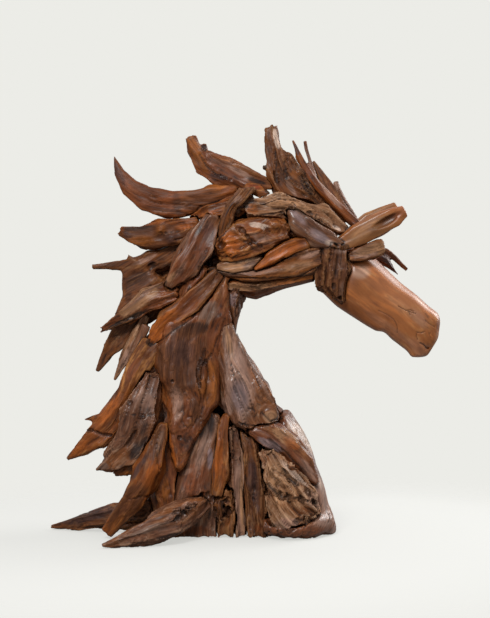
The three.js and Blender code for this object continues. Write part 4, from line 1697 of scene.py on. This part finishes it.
@dataclass
class Neck(RootWork):
    """One thick trunk with strips fixed over it."""

    def pieces(self) -> Iterator[RootPiece]:
        """Gives the neck's pieces in order."""
        yield RootPiece(
            "neck_strip", Timber.HEARTWOOD, Surface.WORN, splinter=1, power=5, sink=24, gloss=-0.1,
            patches=(
                Patch(-196, 502, 60, 24, StainAndSheen.ORANGE, 0.9, 45),
                Patch(-132, 562, 44, 22, StainAndSheen.RUST, 0.85, 48),
                Patch(-84, 606, 50, 34, StainAndSheen.BROWN, 0.9, 48),
            ),
        )
        yield RootPiece(
            "neck_trunk", Timber.RUSSET, Surface.WORN,
            patches=(
                Patch(-84, 540, 36, 30, StainAndSheen.GREY, 0.7, 30),
                Patch(-95, 590, 40, 22, StainAndSheen.RUST, 0.7, 50),
                Patch(-126, 500, 50, 18, StainAndSheen.DARK, 0.75, 4),
                Patch(-140, 420, 70, 110, StainAndSheen.BROWN, 0.75),
                Patch(-150, 445, 40, 40, StainAndSheen.PLUM, 0.6),
                Patch(-70, 385, 14, 54, StainAndSheen.AMBER, 0.7, 10),
                Patch(-158, 320, 18, 50, StainAndSheen.ROSE, 0.6, 8),
                Patch(-90, 350, 26, 50, StainAndSheen.AMBER, 0.5, 20),
                Patch(-174, 222, 56, 7, StainAndSheen.ORANGE, 0.9, -74),
                Patch(-125, 225, 20, 40, StainAndSheen.DARK, 0.6, 20),
                Patch(-110, 300, 20, 44, StainAndSheen.BROWN, 0.7, 15),
                Patch(-195, 420, 16, 50, StainAndSheen.BROWN, 0.6),
            ),
            cracks=(
                Crack(((-92, 452), (-108, 400), (-104, 360)), 1.5, 4.0),
                Crack(((-62, 480), (-75, 440), (-95, 415)), 1.6, 4.0),
            ),
            pits=(Pit(-168, 374, 5, 3, 5), Pit(-150, 241, 5, 5, 7)),
        )
        yield RootPiece(
            "throat", Timber.PLUM, along=(0, 0, 1),
            patches=(
                Patch(-25, 570, 16, 26, StainAndSheen.LILAC, 0.5),
                Patch(-40, 530, 10, 30, StainAndSheen.BROWN, 0.6),
            ),
        )


@dataclass
class Chest(RootWork):
    """The plates that lean on the front ridge."""

    def pieces(self) -> Iterator[RootPiece]:
        """Gives the chest's pieces in order."""
        yield RootPiece(
            "shoulder_knot", Timber.RUSSET, Surface.WORN, splinter=2, sink=5, gloss=0.4,
            patches=(
                Patch(100, 244, 40, 18, StainAndSheen.TAN, 0.8, -30),
                Patch(112, 230, 26, 12, StainAndSheen.ORANGE, 0.7, -40),
                Patch(62, 224, 40, 16, StainAndSheen.LILAC, 0.8, -25),
                Patch(150, 164, 44, 14, StainAndSheen.ROSE, 0.8, -52),
                Patch(120, 196, 40, 10, StainAndSheen.RUST, 0.7, -45),
            ),
            cracks=(Crack(((60, 238), (100, 205), (130, 172)), 1.5, 4.0),),
        )
        yield RootPiece(
            "chest_plate", Timber.PLUM, Surface.WORN, splinter=3, gloss=0.3,
            patches=(
                Patch(-14, 370, 44, 120, StainAndSheen.ROSE, 0.75, 8),
                Patch(-10, 340, 24, 44, StainAndSheen.LILAC, 0.85, 5),
                Patch(-42, 312, 14, 28, StainAndSheen.ROSE, 0.8),
                Patch(48, 355, 80, 20, StainAndSheen.AMBER, 0.75, -60),
                Patch(30, 400, 90, 8, StainAndSheen.ROSE, 0.8, -62),
                Patch(-34, 462, 44, 9, StainAndSheen.TAN, 0.7, -80),
                Patch(66, 290, 26, 18, StainAndSheen.TAN, 0.8),
            ),
            knots=(Knot(66, 290, 30),),
            cracks=(
                Crack(((42, 300), (62, 280), (84, 284), (92, 300)), 1.8, 4.0),
                Crack(((-30, 420), (-18, 370), (-22, 330)), 1.5, 4.0),
                Crack(((-10, 272), (20, 268), (48, 262)), 1.8, 5.0),
            ),
        )
        yield RootPiece(
            "rough_block", Timber.PALE, Surface.GOUGED, along=(0.72, 0, -0.7),
            pulls=(Pull(52, 178, -4, 26, 50),),
            patches=(
                Patch(80, 160, 50, 40, StainAndSheen.TAN, 0.8),
                Patch(164, 96, 34, 20, StainAndSheen.ROSE, 0.9, -30),
                Patch(110, 100, 60, 40, StainAndSheen.TAN, 0.5),
                Patch(120, 160, 50, 10, StainAndSheen.BONE, 0.7, -44),
                Patch(100, 40, 40, 16, StainAndSheen.ROSE, 0.6),
            ),
            cracks=(
                Crack(((58, 132), (74, 116), (92, 104), (130, 100), (178, 88)), 1.8, 8.0),
                Crack(((92, 168), (112, 146), (140, 122), (170, 112)), 1.4, 6.0),
                Crack(((118, 44), (136, 50), (166, 48)), 2.0, 9.0),
            ),
        )
        yield RootPiece(
            "chest_ridge", Timber.RUSSET, Surface.WORN, splinter=0, power=2.6, gloss=0.3,
            patches=(Patch(110, 300, 70, 12, StainAndSheen.ROSE, 0.6, -55),),
        )
        yield RootPiece(
            "chest_front", Timber.RUSSET, Surface.WORN, splinter=0, rounding=0.2, power=2.6, gloss=0.6,
            patches=(
                # the next five patches along the right edge: painted sheen of the side light, over the
                # wood's pinkish colour
                Patch(190, 110, 50, 130, StainAndSheen.ROSE, 0.9, 12),
                Patch(152, 205, 100, 34, StainAndSheen.BONE, 1.0, -62),
                Patch(196, 130, 70, 16, StainAndSheen.BONE, 0.8, -72),
                Patch(170, 180, 70, 7, StainAndSheen.LILAC, 0.8, -64),
                Patch(206, 80, 22, 80, StainAndSheen.ROSE, 0.9),
                Patch(150, 18, 90, 16, StainAndSheen.RUST, 0.9),
            ),
        )


@dataclass
class Base(RootWork):
    """Upright roots cut off flat at the floor."""

    def pieces(self) -> Iterator[RootPiece]:
        """Gives the base's pieces in order."""
        yield RootPiece(
            "foot_root", Timber.PLUM, splinter=2,
            patches=(
                Patch(-150, 66, 40, 14, StainAndSheen.BROWN, 0.7, 25),
                Patch(-215, 44, 60, 10, StainAndSheen.GREY, 0.8, 16),
                Patch(-150, 84, 40, 8, StainAndSheen.ROSE, 0.6, 28),
                Patch(-170, 22, 40, 9, StainAndSheen.DARK, 0.7, 8),
            ),
            crumbles=(Crumble(-140, 76, 48, 18, 9, 20),),
        )
        yield RootPiece(
            "foot_plate", Timber.PLUM, Surface.WORN, splinter=0, along=(0, 0, 1),
            pulls=(Pull(-86, 272, 4, 24, 70),), sink=8,
            patches=(
                Patch(-92, 270, 30, 40, StainAndSheen.DARK, 0.7),
                Patch(-112, 135, 40, 50, StainAndSheen.RUST, 0.8),
                Patch(-80, 190, 9, 30, StainAndSheen.LILAC, 0.7),
                Patch(-138, 158, 20, 8, StainAndSheen.ROSE, 0.7, 20),
                Patch(-100, 205, 60, 12, StainAndSheen.ROSE, 0.7, 75),
                Patch(-120, 20, 50, 14, StainAndSheen.RUST, 0.6),
            ),
            crumbles=(Crumble(-92, 96, 26, 16, 8),),
        )
        yield RootPiece(
            "base_strip", Timber.HEARTWOOD, Surface.WORN, splinter=0,
            pulls=(Pull(-44, 280, 2, 14, 50),),
            patches=(
                Patch(-60, 190, 66, 11, StainAndSheen.ORANGE, 0.9, 85),
                Patch(-66, 130, 8, 20, StainAndSheen.AMBER, 0.6),
            ),
        )
        yield RootPiece(
            "base_rough", Timber.UMBER, Surface.GOUGED, along=(0, 0, 1),
            patches=(
                Patch(-55, 70, 26, 24, StainAndSheen.BROWN, 0.7),
                Patch(-25, 50, 12, 40, StainAndSheen.AMBER, 0.4),
            ),
            crumbles=(Crumble(-52, 74, 34, 34, 11),),
        )
        yield RootPiece(
            "base_column_pale", Timber.PLUM, Surface.RIBBED, along=(0, 0, 1),
            patches=(
                Patch(-4, 110, 120, 24, StainAndSheen.ROSE, 0.8, 92),
                Patch(-4, 90, 90, 7, StainAndSheen.TAN, 0.9, 92),
            ),
        )
        yield RootPiece(
            "base_column_dark", Timber.UMBER, Surface.RIBBED, along=(0, 0, 1),
            pulls=(Pull(10, 140, -13, 0, 80),),
            patches=(
                Patch(24, 120, 90, 12, StainAndSheen.PLUM, 0.6, 94),
                Patch(36, 25, 16, 14, StainAndSheen.RUST, 0.6),
            ),
        )
        yield RootPiece(
            "base_left", Timber.RUSSET, voxel=FAR_VOXEL, along=(0, 0, 1),
            patches=(Patch(-185, 115, 12, 40, StainAndSheen.AMBER, 0.6),),
        )


@dataclass
class FarSide(RootWork):
    """Plainer slabs that close the far side in the same manner."""

    def pieces(self) -> Iterator[RootPiece]:
        """Gives the far side's pieces in order."""
        yield RootPiece("neck_plate_far", Timber.PLUM, Surface.WORN, FAR_VOXEL)
        yield RootPiece("neck_far", Timber.RUSSET, voxel=FAR_VOXEL)
        yield RootPiece("mane_far_high", Timber.UMBER, voxel=FAR_VOXEL, fit=24)
        yield RootPiece("mane_far_middle", Timber.HEARTWOOD, Surface.WORN, FAR_VOXEL, fit=24)
        yield RootPiece("mane_far_low", Timber.PLUM, voxel=FAR_VOXEL, fit=24)
        yield RootPiece("chest_far", Timber.PLUM, Surface.WORN, FAR_VOXEL)
        yield RootPiece("base_far_middle", Timber.RUSSET, Surface.RIBBED, FAR_VOXEL, along=(0, 0, 1))
        yield RootPiece("base_far_left", Timber.UMBER, Surface.RIBBED, FAR_VOXEL, along=(0, 0, 1))


@dataclass(frozen=True)
class Softbox:
    """A square soft light that points at the middle of the bust: its place and side in metres."""

    name: str
    place: tuple[float, float, float]
    side: float
    watts: float

    AIM = (0, 0, 0.5)

    def hang(self) -> None:
        """Hangs the light."""
        data = bpy.data.lights.new(self.name, "AREA")
        data.shape, data.size, data.energy = "SQUARE", self.side, self.watts
        light = bpy.data.objects.new(self.name, data)
        light.location = self.place
        way = Vector(self.AIM) - Vector(self.place)
        light.rotation_euler = way.to_track_quat("-Z", "Y").to_euler()
        bpy.context.scene.collection.objects.link(light)


@dataclass
class Studio:
    """The pale floor, the soft light and the camera.

    The camera's place is in millimetres, and the floor and the lights are in metres.
    """

    camera_aside: float = 3
    camera_height: float = 546
    camera_back: float = 3156
    lens: float = 76
    sensor: float = 36
    backdrop: str = "ecece7"
    floor_albedo: tuple[float, float, float, float] = (0.26, 0.26, 0.2535, 1.0)
    floor_glow: float = 0.655
    floor_radius: float = 1.4
    floor_corners: int = 96
    floor_fade: Span = Span(0.55, 1.25)
    dome: Span = Span(-0.5, 0.6, 0.12, 0.55)
    lights: tuple[Softbox, ...] = (
        Softbox("key", (-0.9, -2.8, 2.6), 1.0, 92),
        Softbox("rim", (2.4, 0.8, 2.4), 2.0, 56),
        Softbox("side", (2.1, 1.15, 1.35), 1.2, 20),
    )

    def floor(self) -> None:
        """Lays a pale round floor that fades into the backdrop."""
        shape = bmesh.new()
        bmesh.ops.create_circle(shape, cap_ends=True, segments=self.floor_corners, radius=self.floor_radius)
        mesh = bpy.data.meshes.new("floor")
        shape.to_mesh(mesh)
        shape.free()
        floor = bpy.data.objects.new("floor", mesh)
        bpy.context.scene.collection.objects.link(floor)
        material = bpy.data.materials.new("pale_floor")
        material.use_nodes = True
        material.node_tree.nodes.clear()
        bench = NodeBench(material.node_tree)
        place = bench.add("ShaderNodeTexCoord").outputs["Object"]
        reach = bench.add("ShaderNodeVectorMath", {0: place}, operation="LENGTH").outputs["Value"]
        paint = bench.add("ShaderNodeBsdfDiffuse", {"Color": self.floor_albedo}).outputs[0]
        seen = bench.add("ShaderNodeLightPath").outputs["Is Camera Ray"]
        inputs = {"Color": linear(self.backdrop), "Strength": bench.math("MULTIPLY", seen, self.floor_glow)}
        glow = bench.add("ShaderNodeEmission", inputs).outputs[0]
        paint = bench.add("ShaderNodeAddShader", {0: paint, 1: glow}).outputs[0]
        clear = bench.add("ShaderNodeBsdfTransparent").outputs[0]
        fade = bench.ramp(reach, self.floor_fade)
        mixed = bench.add("ShaderNodeMixShader", {0: fade, 1: paint, 2: clear}).outputs[0]
        bench.add("ShaderNodeOutputMaterial", {"Surface": mixed})
        mesh.materials.append(material)

    def world(self) -> None:
        """Sets the soft light, stronger from above, and the backdrop's colour."""
        world = bpy.data.worlds.new("studio")
        world.use_nodes = True
        world.node_tree.nodes.clear()
        bench = NodeBench(world.node_tree)
        seen = bench.add("ShaderNodeLightPath").outputs["Is Camera Ray"]
        way = bench.add("ShaderNodeTexCoord").outputs["Generated"]
        height = bench.add("ShaderNodeSeparateXYZ", {0: way}).outputs["Z"]
        dome = bench.ramp(height, self.dome)
        even = bench.add("ShaderNodeBackground", {"Color": (1, 1, 1, 1), "Strength": dome}).outputs[0]
        inputs = {"Color": linear(self.backdrop), "Strength": 1.0}
        back = bench.add("ShaderNodeBackground", inputs).outputs[0]
        mixed = bench.add("ShaderNodeMixShader", {0: seen, 1: even, 2: back}).outputs[0]
        bench.add("ShaderNodeOutputWorld", {"Surface": mixed})
        bpy.context.scene.world = world

    def camera(self) -> None:
        """Sets the camera where the photograph was taken from."""
        data = bpy.data.cameras.new("camera")
        data.lens, data.sensor_width = self.lens, self.sensor
        camera = bpy.data.objects.new("camera", data)
        camera.location = (self.camera_aside * MM, -self.camera_back * MM, self.camera_height * MM)
        camera.rotation_euler = (math.radians(90), 0, 0)
        bpy.context.scene.collection.objects.link(camera)
        bpy.context.scene.camera = camera

    def build(self) -> None:
        """Sets up the studio."""
        self.camera()
        self.floor()
        self.world()
        for light in self.lights:
            light.hang()
        bpy.context.scene.view_settings.view_transform = "Standard"


def main() -> None:
    """Builds the studio and dresses the bust, group by group."""
    logging.basicConfig(level=logging.INFO, format="%(name)s %(message)s")
    Studio().build()
    weather = WeatherTree()
    joints = Joints(frame["nodes"])
    number = 1
    for group in (Head(), Forelock(), Mane(), Neck(), Chest(), Base(), FarSide()):
        number = group.build(weather, joints, number)
    LOG.info("%d pieces dressed", number - 1)


if __name__ == "__main__":
    main()
